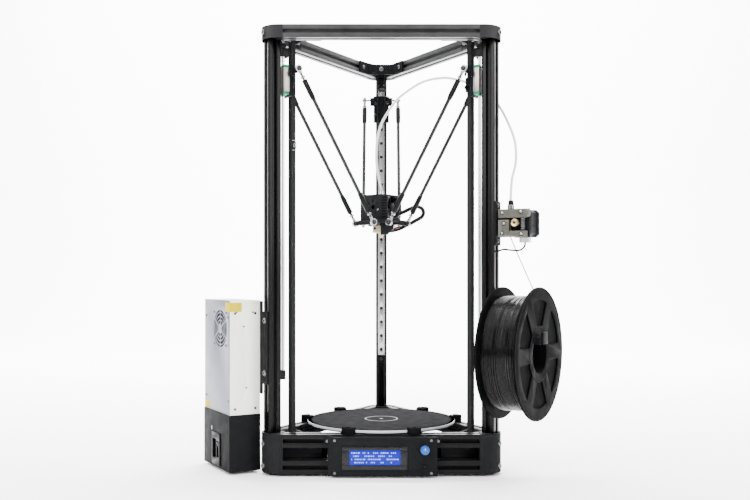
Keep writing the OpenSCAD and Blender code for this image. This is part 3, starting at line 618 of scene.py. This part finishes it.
def make_cord(node, route, diameter, material, body, ribs=0.0):
    """A cord along its route; ribs is how deep its wrapping's turns stand, in metres."""
    path = smooth_route(route)
    part = Part(Matrix.Identity(4)).use(material)
    points = path
    if ribs:
        points = smooth_route(route, 24)
    part.tube(points, diameter / 2, 14)
    if ribs:
        part.bm.verts.ensure_lookup_table()
        for number, vertex in enumerate(part.bm.verts):
            ring, place = divmod(number, 14)
            centre = points[min(ring, len(points) - 1)]
            turn = math.sin(2 * math.pi * (ring / 6 + place / 14))
            vertex.co = centre + (vertex.co - centre) * (1 - ribs * (1 - turn) / diameter)
    obj = part.finish(f"{node}_finish", body, (node,) if body else ())
    if not body:
        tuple(path[len(path) // 4])
        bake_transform(obj)
        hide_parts(node)
        obj if node in SLOTS else None
    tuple(path[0])
    path_length(path)
    return obj


make_cord("bowden_tube", TUBE_ROUTE, 0.004, WHITE_TUBE, None)
make_cord("filament_strand", STRAND_ROUTE, 0.00175, PLASTIC, "frame")
make_cord("extruder_cable", CABLE_ROUTE, 0.003, WIRE_DARK, "frame")
make_cord("wire_loom", LOOM_ROUTE, 0.007, WIRE_DARK, "effector", 0.0005)

# ---------- frame ----------


def make_frame():
    refine("base_corners", CASTING, bevel=0.7)
    refine("top_corners", CASTING, bevel=0.7)
    refine("columns", EXTRUSION, bevel=0.3)
    refine("base_beams", BEAM_BLACK, bevel=0.3)
    # The top beams take the paler copy of the beam black, which is painted light.
    refine("top_beams", PAINTED_LIT_TOP_BEAM, bevel=0.3)
    refine("feet", RUBBER, bevel=0.5)


def make_frame_screws():
    """Screw heads on the corners, legs, motors and idler axles."""
    leg_root = (178.54, 11.24)
    for tower, direction in TOWERS.items():
        part = Part(facing(direction))
        for z in (14, 48, FRAME_HEIGHT - 9):
            screw_head(part, (COLUMN_RADIUS + 14.92, 0, z), (1, 0, 0), 8.4)
        for side in (1, -1):
            along = Vector((math.cos(math.radians(150)), side * math.sin(math.radians(150)), 0))
            inward = Vector((math.cos(math.radians(240)), side * math.sin(math.radians(240)), 0))
            for z in (14, 54, FRAME_HEIGHT - 10):
                root = Vector((leg_root[0], side * leg_root[1], z))
                screw_head(part, root + 48 * along + 4.1 * inward, inward, 7)
        for y in (-15.5, 15.5):
            for z in (-15.5, 15.5):
                screw_head(part, (PLATE_RADIUS + 4, y, MOTOR_LEVEL + z), (1, 0, 0), 5.4)
        screw_head(part, (PLATE_RADIUS, 0, IDLER_LEVEL), (-1, 0, 0), 8)
        stands_for = ("frame_screws",) if tower == "left" else ()
        part.finish(f"frame_screws_{tower}", "frame", stands_for)


def make_rails():
    refine("linear_rails", RAIL_STEEL, bevel=0.25)
    for tower, direction in TOWERS.items():
        part = Part(facing(direction))
        level = RAIL_BOTTOM + 10
        while level < RAIL_TOP - 5:
            screw_head(part, (RAIL_FACE + 2.6, 0, level), (-1, 0, 0), 5.2, DARK_STEEL)
            level += 25
        screw_head(part, (RAIL_FACE - 1, 0, RAIL_BOTTOM - 7.5), (-1, 0, 0), 5.6, DARK_STEEL)
        part.finish(f"rail_screws_{tower}", "frame")


def belt_path(radius, step):
    """Points evenly spaced round a belt, in a tower's Y and Z, with each point's outward way."""
    straight = IDLER_LEVEL - MOTOR_LEVEL
    round_end = math.pi * radius
    length = 2 * (straight + round_end)
    count = round(length / step)
    for k in range(count):
        s = length * k / count
        if s < straight:
            yield (radius, MOTOR_LEVEL + s), (1, 0)
        elif s < straight + round_end:
            a = (s - straight) / radius
            yield (radius * math.cos(a), IDLER_LEVEL + radius * math.sin(a)), (math.cos(a), math.sin(a))
        elif s < 2 * straight + round_end:
            yield (-radius, IDLER_LEVEL - (s - straight - round_end)), (-1, 0)
        else:
            a = math.pi + (s - 2 * straight - round_end) / radius
            yield (radius * math.cos(a), MOTOR_LEVEL + radius * math.sin(a)), (math.cos(a), math.sin(a))


def make_belts():
    """Toothed belts, each with its spring tensioner clipped on the free run."""
    middle = (BELT_INNER + BELT_OUTER) / 2 + 0.3
    low, high = BELT_RADIUS - BELT_WIDTH / 2, BELT_RADIUS + BELT_WIDTH / 2
    for tower, direction in TOWERS.items():
        part = Part(facing(direction)).use(BELT)
        rings = []
        for number, ((y, z), (v, w)) in enumerate(belt_path(middle, BELT_PITCH / 4)):
            inner = middle - (BELT_INNER + 0.02 if number % 4 < 2 else BELT_INNER + 0.7)
            outer = BELT_OUTER - 0.02 - middle
            rings.append([
                (low, y + v * outer, z + w * outer), (high, y + v * outer, z + w * outer),
                (high, y - v * inner, z - w * inner), (low, y - v * inner, z - w * inner),
            ])
        part.skin(rings, closed=True)
        part.use(BRIGHT_STEEL)
        clip = CLIP_LEVELS[tower]
        coil = [
            (
                156.6 + 5.4 * k / 72 / 1.1,
                7.9 + 1.15 * math.cos(math.radians(k * 15)),
                clip + 8 + 3.2 * math.sin(math.radians(k * 15)),
            )
            for k in range(73)
        ]
        part.tube(coil, 0.5, 8)
        for z, end in ((clip + 9, clip + 15.4), (clip + 7, clip + 0.6)):
            part.tube([(157, 9, z), (157.2, 8.6, (z + end) / 2), (159, 8.2, end), (163, 8.2, end)], 0.5, 8)
        part.use(PLASTIC).box((156.1, 4.5, clip + 0.3), (163.7, 5.7, clip + 15.7), 0.3)
        stands_for = ("drive_belts",) if tower == "left" else ()
        part.finish(f"drive_belt_{tower}", "frame", stands_for)


MOTORS = [facing(d) @ shift(PLATE_RADIUS, 0, MOTOR_LEVEL) for d in TOWERS.values()]
MOTORS.append(facing(RIGHT) @ shift(EXTRUDER_AXIS, 7, EXTRUDER_LEVEL) @ spin(-90, "Z"))


def motor_rule(p):
    """End bells, laminated core and connector of whichever motor the point is on."""
    for place in MOTORS:
        q = local(place, p)
        if -41 < q.x < 3 and abs(q.y) < 22 and abs(q.z) < 30:
            if q.z < -21.4:
                return 2
            return 0 if q.x > -8.2 or q.x < -30.8 else 1
    return 0


def make_motors():
    refine("stepper_motors", MOTOR_BELL, MOTOR_CORE, WHITE_PLASTIC, rule=motor_rule, bevel=0.4)
    for number, place in enumerate(MOTORS):
        part = Part(place)
        for y in (-15.5, 15.5):
            for z in (-15.5, 15.5):
                screw_head(part, (-40, y, z), (-1, 0, 0), 5)
        part.finish(f"motor_screws_{number}", "frame")


def make_endstops():
    """End switches with their pins and screws; the stop blocks share their node."""
    refine("travel_stops", PLASTIC, bevel=0.3)
    for tower, direction in TOWERS.items():
        part = Part(facing(direction))
        part.use(BRIGHT_STEEL)
        for y in (-4.5, 0, 4.5):
            part.box((169.2, y - 0.35, RAIL_TOP + 13.8), (171.6, y + 0.35, RAIL_TOP + 14.8), 0.1)
        part.use(BRIGHT_STEEL).box(
            (167.7, -6.8, RAIL_TOP + 0.7), (168.0, 6.8, RAIL_TOP + 2.1), 0.08
        )
        for y in (-5, 5):
            screw_head(part, (168, y, RAIL_TOP + 7.5), (-1, 0, 0), 2.8)
        part.finish(f"endstop_details_{tower}", "frame")


# ---------- moving drive parts ----------


def near_ball(p, place, radius, level):
    q = local(place, p)
    return any((q - Vector((radius, s * ARM_HALF, level))).length < BALL / 2 + 0.1 for s in (1, -1))


def make_carriage(tower, direction):
    place = facing(direction)

    def rule(p):
        # The balls are painted dark steel: painted shade for the dark centre inside each ball-joint eye.
        if near_ball(p, place, JOINT_RADIUS, CARRIAGE_LEVEL):
            return 1
        return 2 if abs(local(place, p).y) > 20.2 else 0

    refine(f"carriage_{tower}", PANEL, DARK_STEEL, DARK_STEEL, rule=rule)
    part = Part(place)
    for y, face in ((-10, 156.2), (10, 164.2)):
        for z in (-10, 10):
            screw_head(part, (face, y, BLOCK_MIDDLE + z), (-1, 0, 0), 5.5, DARK_STEEL)
    part.use(PLASTIC)
    part.box((163.7, 3.5, BLOCK_MIDDLE - 6), (164.3, 9.5, BLOCK_MIDDLE + 4), 0.1)
    part.finish(f"carriage_screws_{tower}", f"carriage_{tower}")


def make_rail_block(tower, direction):
    place = facing(direction)
    inner = BLOCK_LENGTH / 2 - 4.42

    def rule(p):
        return 1 if abs(local(place, p).z - BLOCK_MIDDLE) > inner else 0

    refine(f"rail_block_{tower}", BLOCK_STEEL, SEAL_GREEN, rule=rule)
    part = Part(place).use(BRIGHT_STEEL)
    for side in (-1, 1):
        low, high = sorted((side * 13.35, side * 13.6))
        part.box((172.5, low, BLOCK_MIDDLE - inner + 1), (174.3, high, BLOCK_MIDDLE + inner - 1), 0.08)
    part.finish(f"rail_block_strips_{tower}", f"carriage_{tower}")


def make_rod(node, direction, side):
    """Carbon tube with a sleeve, a threaded shank, a lock nut and a ball-joint eye at each end."""
    place = (
        facing(direction)
        @ shift(EFFECTOR_OFFSET, side * ARM_HALF, TOOL_LEVEL)
        @ Matrix.Rotation(ROD_TILT, 4, "Y")
    )
    part = Part(place)
    part.use(CARBON).lathe([(50, 2.9), (ROD_LENGTH - 50, 2.9)], sides=28)
    bore = BALL / 2 + 0.3
    eye = [
        (-2.5, bore + 0.2), (-2.3, bore), (2.3, bore), (2.5, bore + 0.2), (2.5, 5.1),
        (2.1, 5.5), (-2.1, 5.5), (-2.5, 5.1),
    ]
    for end in (0, 1):
        turn = shift(0, 0, ROD_LENGTH) @ spin(180, "X") if end else Matrix.Identity(4)
        part.use(BRIGHT_STEEL).lathe(eye, turn @ spin(90, "X"), 36, closed=True)
        part.lathe([(4.6, 2.6), (6.5, 2.5), (9, 2.5), (9.6, 2.1)], turn, 24)
        thread = [(9.5 + 0.35 * k, 2.15 if k % 2 else 1.85) for k in range(28)]
        part.lathe(thread, turn, 20)
        nut = [(13.4, 3.0), (13.8, 3.3), (15.6, 3.3), (16.0, 3.0)]
        part.lathe(nut, turn, 24, shape=lambda a, ring: hexagon(a) if ring in (1, 2) else 1.04)
        part.use(PLASTIC).lathe(
            [(19, 3.6), (19.4, 4.1), (44, 4.1), (50.6, 3.6), (51.9, 3.1)], turn, 28
        )
    part.finish(f"{node}_finish", node, (node,))


def make_drives():
    for tower, direction in TOWERS.items():
        make_carriage(tower, direction)
        make_rail_block(tower, direction)
        refine(f"motor_pulley_{tower}", PULLEY, bevel=0.2)
        refine(f"idler_pulley_{tower}", PULLEY, bevel=0.2)
    for node, direction, side in (
        ("rod_left_front", LEFT, 1), ("rod_left_back", LEFT, -1),
        ("rod_right_front", RIGHT, -1), ("rod_right_back", RIGHT, 1),
        ("rod_rear_left", REAR, 1), ("rod_rear_right", REAR, -1),
    ):
        make_rod(node, direction, side)


# ---------- effector ----------


def effector_plate_rule(p):
    # The balls are painted dark steel: painted shade for the dark centre inside each ball-joint eye.
    if any(near_ball(p, facing(d), EFFECTOR_OFFSET, TOOL_LEVEL) for d in TOWERS.values()):
        return 1
    beyond = any(
        abs(local(facing(d), p).y) > 22.2 and local(facing(d), p).x > 29 for d in TOWERS.values()
    )
    return 2 if beyond else 0


def hotend_rule(p):
    q = local(PRINTER, p)
    tip = TOOL_LEVEL - 23.3
    if q.z < tip + 7.6:
        return 2
    if q.z < tip + 19.1:
        return 1
    return 3 if q.z > SHROUD_BOTTOM + 36.2 else 0


def make_effector():
    refine("effector_plate", PANEL, DARK_STEEL, DARK_STEEL, rule=effector_plate_rule)
    refine("effector_shroud", SHROUD, bevel=0.5)
    refine("hotend", BRIGHT_STEEL, SOCK, BRASS, PULLEY, rule=hotend_rule, bevel=0.2)
    refine("effector_fan", PLASTIC, bevel=0.25)
    part = Part(facing(SHROUD_TURN))
    turn = math.radians(-22)
    at = (-4.1 + 10 * math.cos(turn), -20, FAN_LEVEL - 0.2 + 10 * math.sin(turn))
    screw_head(part, at, (0, -1, 0), 3.4, BRIGHT_STEEL)
    for y in (-16, 16):
        for z in (-16, 16):
            screw_head(part, (22.3, y, FAN_LEVEL + z), (1, 0, 0), 3.0)
    for x, y in ((-23, -15), (-23, 15), (6, -15), (6, 15)):
        screw_head(part, (x, y, SHROUD_TOP), (0, 0, 1), 3.4)
    part.use(MOTOR_BELL)
    for step in range(8):
        low = FAN_LEVEL - 17 + step * 4.4
        part.box((12.2, -20.35, low), (21.6, -19.9, low + 2.6), 0.15)
    part.finish("shroud_details", "effector")
    block = Part()
    screw_head(block, (-10.5, -9, TOOL_LEVEL - 8.8), (0, -1, 0), 4, DARK_STEEL)
    block.use(ALLOY).box((-16.5, -19, TOOL_LEVEL - 3.1), (-2, -12, TOOL_LEVEL + 4.5), 0.5)
    screw_head(block, (-10, -19, TOOL_LEVEL + 1), (0, -1, 0), 4.4, SCREW)
    block.finish("heater_block_details", "effector")
    wires = Part()
    for number, material in enumerate((WIRE_RED, WIRE_RED, WIRE_DARK, WHITE_PLASTIC)):
        z = 379.5 + number * 1.9
        route = [
            (9, -4 + number, z), (15, -6 + number * 1.5, z - 1), (22, -4, z + 0.5),
            (28, 3, z + 2), (30, 9, 383),
        ]
        points = [catmull(route, i, s / 5) for i in range(len(route) - 1) for s in range(5)]
        wires.use(material).tube(points, 0.75, 8)
        wires.use(BRIGHT_STEEL).tube(points[6:9], 1.0, 8)
    wires.finish("heater_wires", "effector")


# ---------- bed ----------


def make_bed():
    refine("heater_bed", HEATER, bevel=0.3)
    edge, coating = 120, 113.5
    glass = BUILD_LEVEL - 0.2
    part = Part().use(PLATE_TOP)
    top = [
        (glass, edge - 0.6), (glass, coating), (BUILD_LEVEL - 0.06, coating),
        (BUILD_LEVEL, coating - 0.1), (BUILD_LEVEL, 0.01),
    ]
    rim = [
        (BASE_TOP + 2, 0.01), (BASE_TOP + 2, edge - 0.5), (BASE_TOP + 2.5, edge),
        (glass - 0.6, edge), (glass, edge - 0.6),
    ]
    part.lathe(top, sides=180)
    part.use(PLATE_RIM).lathe(rim, sides=180)
    part.finish("build_plate_finish", "frame", ("build_plate",))
    refine("bed_clips", CLIP, bevel=0.6)


# ---------- electronics ----------


def make_board():
    """Control board with drivers, sockets and capacitors."""
    low = 24
    part = Part()
    part.use(BOARD).box((-50, -112, low + 4), (50, -22, low + 5.6), 0.2)
    part.use(BRIGHT_STEEL)
    for x in (-44, 44):
        part.lathe([(low, 3), (low + 4.1, 3)], shift(x, -107, 0), 18)
    part.use(PLASTIC)
    part.box((-48, -60, low + 5.5), (-30, -30, low + 15), 0.5)
    part.use(MOTOR_BELL)
    for fin in range(8):
        x = -22 + fin * 4.4
        part.box((x, -50, low + 5.5), (x + 2, -24, low + 13), 0.2)
    for x in (18, 30, 42):
        part.use(PLASTIC).box((x - 4.5, -80, low + 5.5), (x + 4.5, -64, low + 8.5), 0.3)
        part.use(MOTOR_BELL).box((x - 3.5, -77, low + 8.4), (x + 3.5, -68, low + 14), 0.3)
    for x in range(-44, 44, 11):
        part.use(WHITE_PLASTIC).box((x, -104, low + 5.5), (x + 8, -98, low + 11), 0.4)
        part.use(GOLD_PADS)
        for pin in range(3):
            part.box((x + 1.4 + pin * 2.2, -103, low + 10.8), (x + 2 + pin * 2.2, -102.4, low + 12.6), 0.1)
    part.use(BRIGHT_STEEL)
    for x in (-20, -8, 4):
        part.lathe([(low + 5.5, 3.1), (low + 13, 3.1), (low + 13.4, 2.7)], shift(x, -84, 0), 24)
    part.finish("control_board_finish", "frame", ("control_board",))


def make_display():
    refine("lcd_panel", PANEL, bevel=0.4)
    front = PANEL_FRONT - 1.2
    part = Part()
    part.use(BOARD).box((-72, PANEL_BACK + 1.9, 9), (76, PANEL_BACK + 3.5, 56), 0.2)
    part.use(BEZEL).box((-58.8, PANEL_FRONT + 0.6, 13.2), (38.8, PANEL_BACK + 2, 47.3), 0.2)
    window = (-48, 29, 20, 42.5)
    left, right, low, high = window
    for box in (
        ((-58.8, 13.2), (38.8, low)), ((-58.8, high), (38.8, 47.3)),
        ((-58.8, low - 0.1), (left, high + 0.1)), ((right, low - 0.1), (38.8, high + 0.1)),
    ):
        part.box((box[0][0], front, box[0][1]), (box[1][0], PANEL_FRONT + 0.7, box[1][1]), 0.35)
    part.use(SCREEN).box(
        (left - 0.1, PANEL_FRONT - 0.3, low - 0.1), (right + 0.1, PANEL_FRONT + 0.7, high + 0.1), 0.05
    )
    part.use(SCREEN_MARK)
    dice = random.Random(4)
    for level in (38.4, 33.6, 28.8, 24.0):
        x = left + 3
        while x < right - 6:
            width = dice.choice((1.2, 1.7, 1.7, 3.4))
            if dice.random() < 0.66:
                part.box(
                    (x, PANEL_FRONT - 0.36, level - 1.0),
                    (x + width, PANEL_FRONT - 0.25, level + 1.0), 0.02,
                )
            x += width + 1.1
    x, z = KNOB_PLACE
    part.use(BRIGHT_STEEL).box((x - 6, PANEL_BACK + 0.2, z - 6), (x + 6, PANEL_BACK + 2, z + 6), 0.3)
    for sx, sz in ((-70, 57), (75, 57), (-70, 8), (75, 8)):
        screw_head(part, (sx, PANEL_FRONT, sz), (0, -1, 0), 4.6)
    part.finish("lcd_module_finish", "frame", ("lcd_module",))
    brackets = Part()
    for x in (-81.5, 85.5):
        screw_head(brackets, (x, -121, 54.5), (0, -1, 0), 5)
    brackets.finish("panel_bracket_screws", "frame")


def make_controls():
    refine("encoder_shaft", BRIGHT_STEEL, bevel=0.2)
    refine("reset_button", PLASTIC, bevel=0.25)
    x, z = KNOB_PLACE
    place = shift(x, PANEL_FRONT, z) @ spin(90, "X")
    part = Part(PRINTER @ place).use(KNOB)
    profile = [
        (2.2, 3.1), (2.2, 6.8), (2.5, 7), (3.3, 7), (3.7, 6),
        (11, 5.75), (11.7, 5.2), (12, 4.2), (11.9, 0.01),
    ]
    part.lathe(profile, sides=96, shape=lambda a, ring: 1 + (0.018 * math.cos(24 * a) if 3 < ring < 6 else 0))
    part.use(MARK).box((-0.35, 1.2, 11.75), (0.35, 4.6, 11.98), 0.05)
    part.finish("encoder_knob_finish", NODE_BODY["encoder_knob"], ("encoder_knob",))


# ---------- power supply ----------


def supply_rule(p):
    """The narrow side that looks forward is painted paler than the wide one: a painted highlight on the same
    metal case.
    """
    q = local(facing(LEFT), p)
    return 1 if q.y > SUPPLY_FRONT - 0.3 or q.y < SUPPLY_BACK + 0.3 else 0


def make_supply():
    refine("psu_case", SUPPLY, SUPPLY_PAINTED_LIT_END, rule=supply_rule, bevel=0.5)
    refine("psu_terminal_cover", PANEL, bevel=0.6)
    refine("power_inlet", GLOSSY, bevel=0.4)
    refine("power_switch", GLOSSY, bevel=0.3)
    refine("psu_fan", PLASTIC, bevel=0.3)
    refine("psu_bracket", PANEL, bevel=0.4)
    part = Part(facing(LEFT)).use(LABEL)
    skin = 0.18
    corner = (SUPPLY_OUTER + skin, SUPPLY_FRONT + skin, 262.5)
    part.box((SUPPLY_OUTER - 0.05, SUPPLY_FRONT - 19, 248.5), corner, 0.05)
    part.box((SUPPLY_OUTER - 19, SUPPLY_FRONT - 0.05, 248.5), corner, 0.05)
    part.box((SUPPLY_OUTER - 0.05, SUPPLY_BACK + 1, 92), (SUPPLY_OUTER + skin, SUPPLY_BACK + 21, 102), 0.05)
    for y in (SUPPLY_FRONT - 8, SUPPLY_BACK + 8):
        for z in (112, 240):
            screw_head(part, (SUPPLY_OUTER, y, z), (1, 0, 0), 4)
    for x in (SUPPLY_INNER + 8, SUPPLY_OUTER - 8):
        for z in (100, 246):
            screw_head(part, (x, SUPPLY_FRONT, z), (0, 1, 0), 4)
    for turn in (45, 135, 225, 315):
        a = math.radians(turn)
        at = (SUPPLY_OUTER, -62 + 35.5 * math.cos(a), 221.6 + 35.5 * math.sin(a))
        screw_head(part, at, (1, 0, 0), 4)
    for z in (155, 235):
        screw_head(part, (SUPPLY_INNER, 0, z), (1, 0, 0), 9)
    part.use(MARK)
    part.box((SUPPLY_OUTER + 1.3, -96, 60), (SUPPLY_OUTER + 1.9, -95.2, 66), 0.05)
    part.finish("supply_details", "frame")


# ---------- extruder ----------


def extruder_rule(p):
    q = local(facing(RIGHT), p)
    if q.z > 415.4:
        return 2
    if q.z > 404.85:
        return 1
    return 1 if q.y < -5.02 else 0


def bracket_rule(p):
    q = local(facing(RIGHT), p)
    near = math.hypot(q.x - LEVER_PIVOT[0], q.z - LEVER_PIVOT[1]) < 3
    return 1 if near and q.y < 4.9 else 0


def ringed_screw(part, r, z):
    """Bright screw head on a thin dark disc, painted shade standing for a counterbore on the jaws' front."""
    counterbore = shift(r, -5, z) @ spin(90, "X")
    # The dark disc is painted shade: a flat stand-in for the shaded counterbore round the head.
    part.use(PLASTIC).lathe([(0, 3.5), (0.12, 3.4), (0.12, 0.01)], counterbore, 28)
    screw_head(part, (r, -5.1, z), (0, -1, 0), 4.8, BRIGHT_STEEL)


def make_extruder():
    refine("extruder_body", ALLOY, BRIGHT_STEEL, PLASTIC, rule=extruder_rule, bevel=0.6)
    refine("extruder_lever", ALLOY, BRIGHT_STEEL, rule=extruder_rule, bevel=0.6)
    refine("extruder_bracket", PANEL, BRIGHT_STEEL, rule=bracket_rule, bevel=0.3)
    place = facing(RIGHT)
    fixed = Part(place)
    for r, z in ((214.4, 399), (244.8, 400.4), LEVER_PIVOT):
        ringed_screw(fixed, r, z)
    for z in (357, 411):
        screw_head(fixed, (COLUMN_OUTER + 3, -3, z), (1, 0, 0), 6.5, DARK_STEEL)
    fitting = shift(FILAMENT_RADIUS, 0, 0)
    nut = [(404.9, 3), (404.9, 4.6), (405.5, 5), (410.4, 5), (411, 4.6), (411, 3)]
    collar = [(411, 3), (411.1, 4.4), (414.8, 4.4), (415.3, 4), (415.3, 2.4)]
    fixed.use(BRIGHT_STEEL).lathe(nut, fitting, 40)
    fixed.use(PLASTIC).lathe(collar, fitting, 40)
    fixed.finish("extruder_screws", "frame")
    moving = Part(place)
    for r, z in ((217.3, 383), (245, 366.8)):
        ringed_screw(moving, r, z)
    moving.finish("lever_screws", NODE_BODY["extruder_lever"])
    spring = Part(place).use(SPRING)
    turns, low, high = 6, 372.5, 390.7
    helix = []
    for k in range(turns * 20 + 1):
        a = 2 * math.pi * k / 20
        helix.append((246 + 3.2 * math.cos(a), 3.2 * math.sin(a), low + (high - low) * k / (turns * 20)))
    spring.tube(helix, 0.58, 8)
    obj = spring.finish("extruder_spring_finish", "frame", ("extruder_spring",))
    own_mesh(obj)
    gear = Part(place @ shift(EXTRUDER_AXIS, 0, EXTRUDER_LEVEL) @ spin(-90, "X"))
    gear.use(BRASS).lathe(
        [
            (-4.5, 4.6), (-4.6, 5.0), (-4.2, 5.65), (-2, 5.7), (-1.4, 5.2),
            (0.6, 5.2), (1.2, 5.7), (3.3, 5.7), (3.4, 2.6),
        ],
        sides=120, shape=lambda a, ring: 1 + (0.025 * math.cos(30 * a) if 1 < ring < 8 else 0),
    )
    gear.use(DARK_STEEL).lathe([(-4.78, 2.1), (-4.6, 2.45), (44, 2.45)], sides=24)
    gear.finish("extruder_gear_finish", NODE_BODY["extruder_gear"], ("extruder_gear",))


# ---------- spool ----------


def make_winding():
    """Strands side by side, with a few that cross over them."""
    place = facing(RIGHT) @ shift(SPOOL_INNER, 0, SPOOL_LEVEL) @ spin(90, "Y")
    low, high, strand = 3.2, SPOOL_WIDTH - 3.2, 1.75
    count = int((high - low) / strand)
    profile = [(low, HUB_BORE + 6.2)]
    dice = random.Random(9)
    for k in range(count):
        drop = dice.choice((0.0, 0.0, 0.5, 0.9))
        for s in range(7):
            a = math.pi * s / 6
            at = low + (high - low) * (k + 0.5 - 0.5 * math.cos(a)) / count
            profile.append((at, WOUND_RADIUS - 1.5 - drop + 0.8 * math.sin(a)))
    profile.append((high, HUB_BORE + 6.2))
    part = Part(place).use(FILAMENT).lathe(profile, sides=180, closed=True)
    part.use(WOUND_SIDE)
    inner, outer = HUB_BORE + 6.5, WOUND_RADIUS - 2
    for at, way in ((low, -0.05), (high, 0.05)):
        side = [(at - way, inner), (at + way, inner), (at + way, outer), (at - way, outer)]
        part.lathe(side, sides=180, closed=True)
    part.use(FILAMENT)
    for number in range(9):
        start, lean = 360 / 9 * number, dice.uniform(-16, 16)
        middle = dice.uniform(low + 9, high - 9)
        points = []
        for k in range(61):
            a = math.radians(start + 4 * k)
            along = middle + lean * (k / 60 - 0.5)
            sink = 1.2 * (abs(k - 30) / 30) ** 4
            radius = WOUND_RADIUS - 0.95 - sink
            points.append((radius * math.cos(a), radius * math.sin(a), min(max(along, low + 1), high - 1)))
        part.tube(points, strand / 2, 8)
    part.finish("wound_filament_finish", NODE_BODY["wound_filament"], ("wound_filament",))


def make_spool():
    refine("spool", SPOOL_BLACK, bevel=1.0)
    refine("spool_holder", PANEL, bevel=0.5)
    make_winding()
    place = facing(RIGHT) @ shift(SPOOL_INNER, 0, SPOOL_LEVEL) @ spin(90, "Y")
    part = Part(place).use(SPOOL_BLACK)
    for base, way in ((SPOOL_WIDTH, 1), (0, -1)):
        for radius in (SPOOL_RADIUS - 1.6, HUB_BORE + 12):
            sunk, proud = base - way * 0.3, base + way * 0.28
            lip = [(sunk, radius - 1.3), (proud, radius - 1.0), (proud, radius + 1.0), (sunk, radius + 1.3)]
            part.lathe(lip, sides=160, closed=True)
    part.finish("spool_lips", NODE_BODY["spool"])
    holder = Part(facing(RIGHT))
    for z in (168, 224):
        screw_head(holder, (COLUMN_OUTER + 4, 0, z), (1, 0, 0), 9)
    holder.finish("holder_screws", "frame")


# ---------- room ----------


def make_room():
    """Pale floor that curves up behind the printer, and soft lights round it."""
    material = surface("room", (0.97, 0.97, 0.97), 0.8, vary=0.01, patch=2, relief=0.02, edge_wear_and_highlight=0)
    bm = bmesh.new()
    radius, back = 1.2, 2.6
    line = [(-4.5, FLOOR)] + [
        (back + radius * math.sin(a), FLOOR + radius * (1 - math.cos(a)))
        for a in (math.radians(6 * k) for k in range(16))
    ] + [(back + radius, FLOOR + 5)]
    rows = [[bm.verts.new((x, y, z)) for y, z in line] for x in (-6, 6)]
    for a, b, c, d in zip(rows[0], rows[0][1:], rows[1][1:], rows[1]):
        bm.faces.new((a, b, c, d))
    room = publish(bm, "room", [material], None)
    world = bpy.data.worlds.new("room_light")
    world.use_nodes = True
    world.node_tree.nodes["Background"].inputs["Color"].default_value = (1, 1, 1, 1)
    world.node_tree.nodes["Background"].inputs["Strength"].default_value = 0.8
    bpy.context.scene.world = world
    centre = Vector((0, 0, 0.25))
    for name, place, size, power in (
        ("key", (-1.7, -1.9, 1.5), (1.2, 1.8), 90),
        ("fill", (2.0, -1.6, 1.1), (1.0, 1.8), 60),
        ("top", (0, -0.4, 2.4), (3.0, 3.0), 150),
        ("backdrop", (0, 1.2, 2.8), (5.0, 1.2), 1400),
    ):
        data = bpy.data.lights.new(name, "AREA")
        data.shape = "RECTANGLE"
        data.size, data.size_y = size
        data.energy = power
        lamp = bpy.data.objects.new(name, data)
        lamp.location = place
        aim = (Vector((0, 3.6, 0.8)) if name == "backdrop" else centre) - lamp.location
        lamp.rotation_euler = aim.to_track_quat("-Z", "Y").to_euler()
        bpy.context.scene.collection.objects.link(lamp)


make_frame()
make_frame_screws()
make_rails()
make_belts()
make_motors()
make_endstops()
make_drives()
make_effector()
make_bed()
make_board()
make_display()
make_controls()
make_supply()
make_extruder()
make_spool()
make_room()
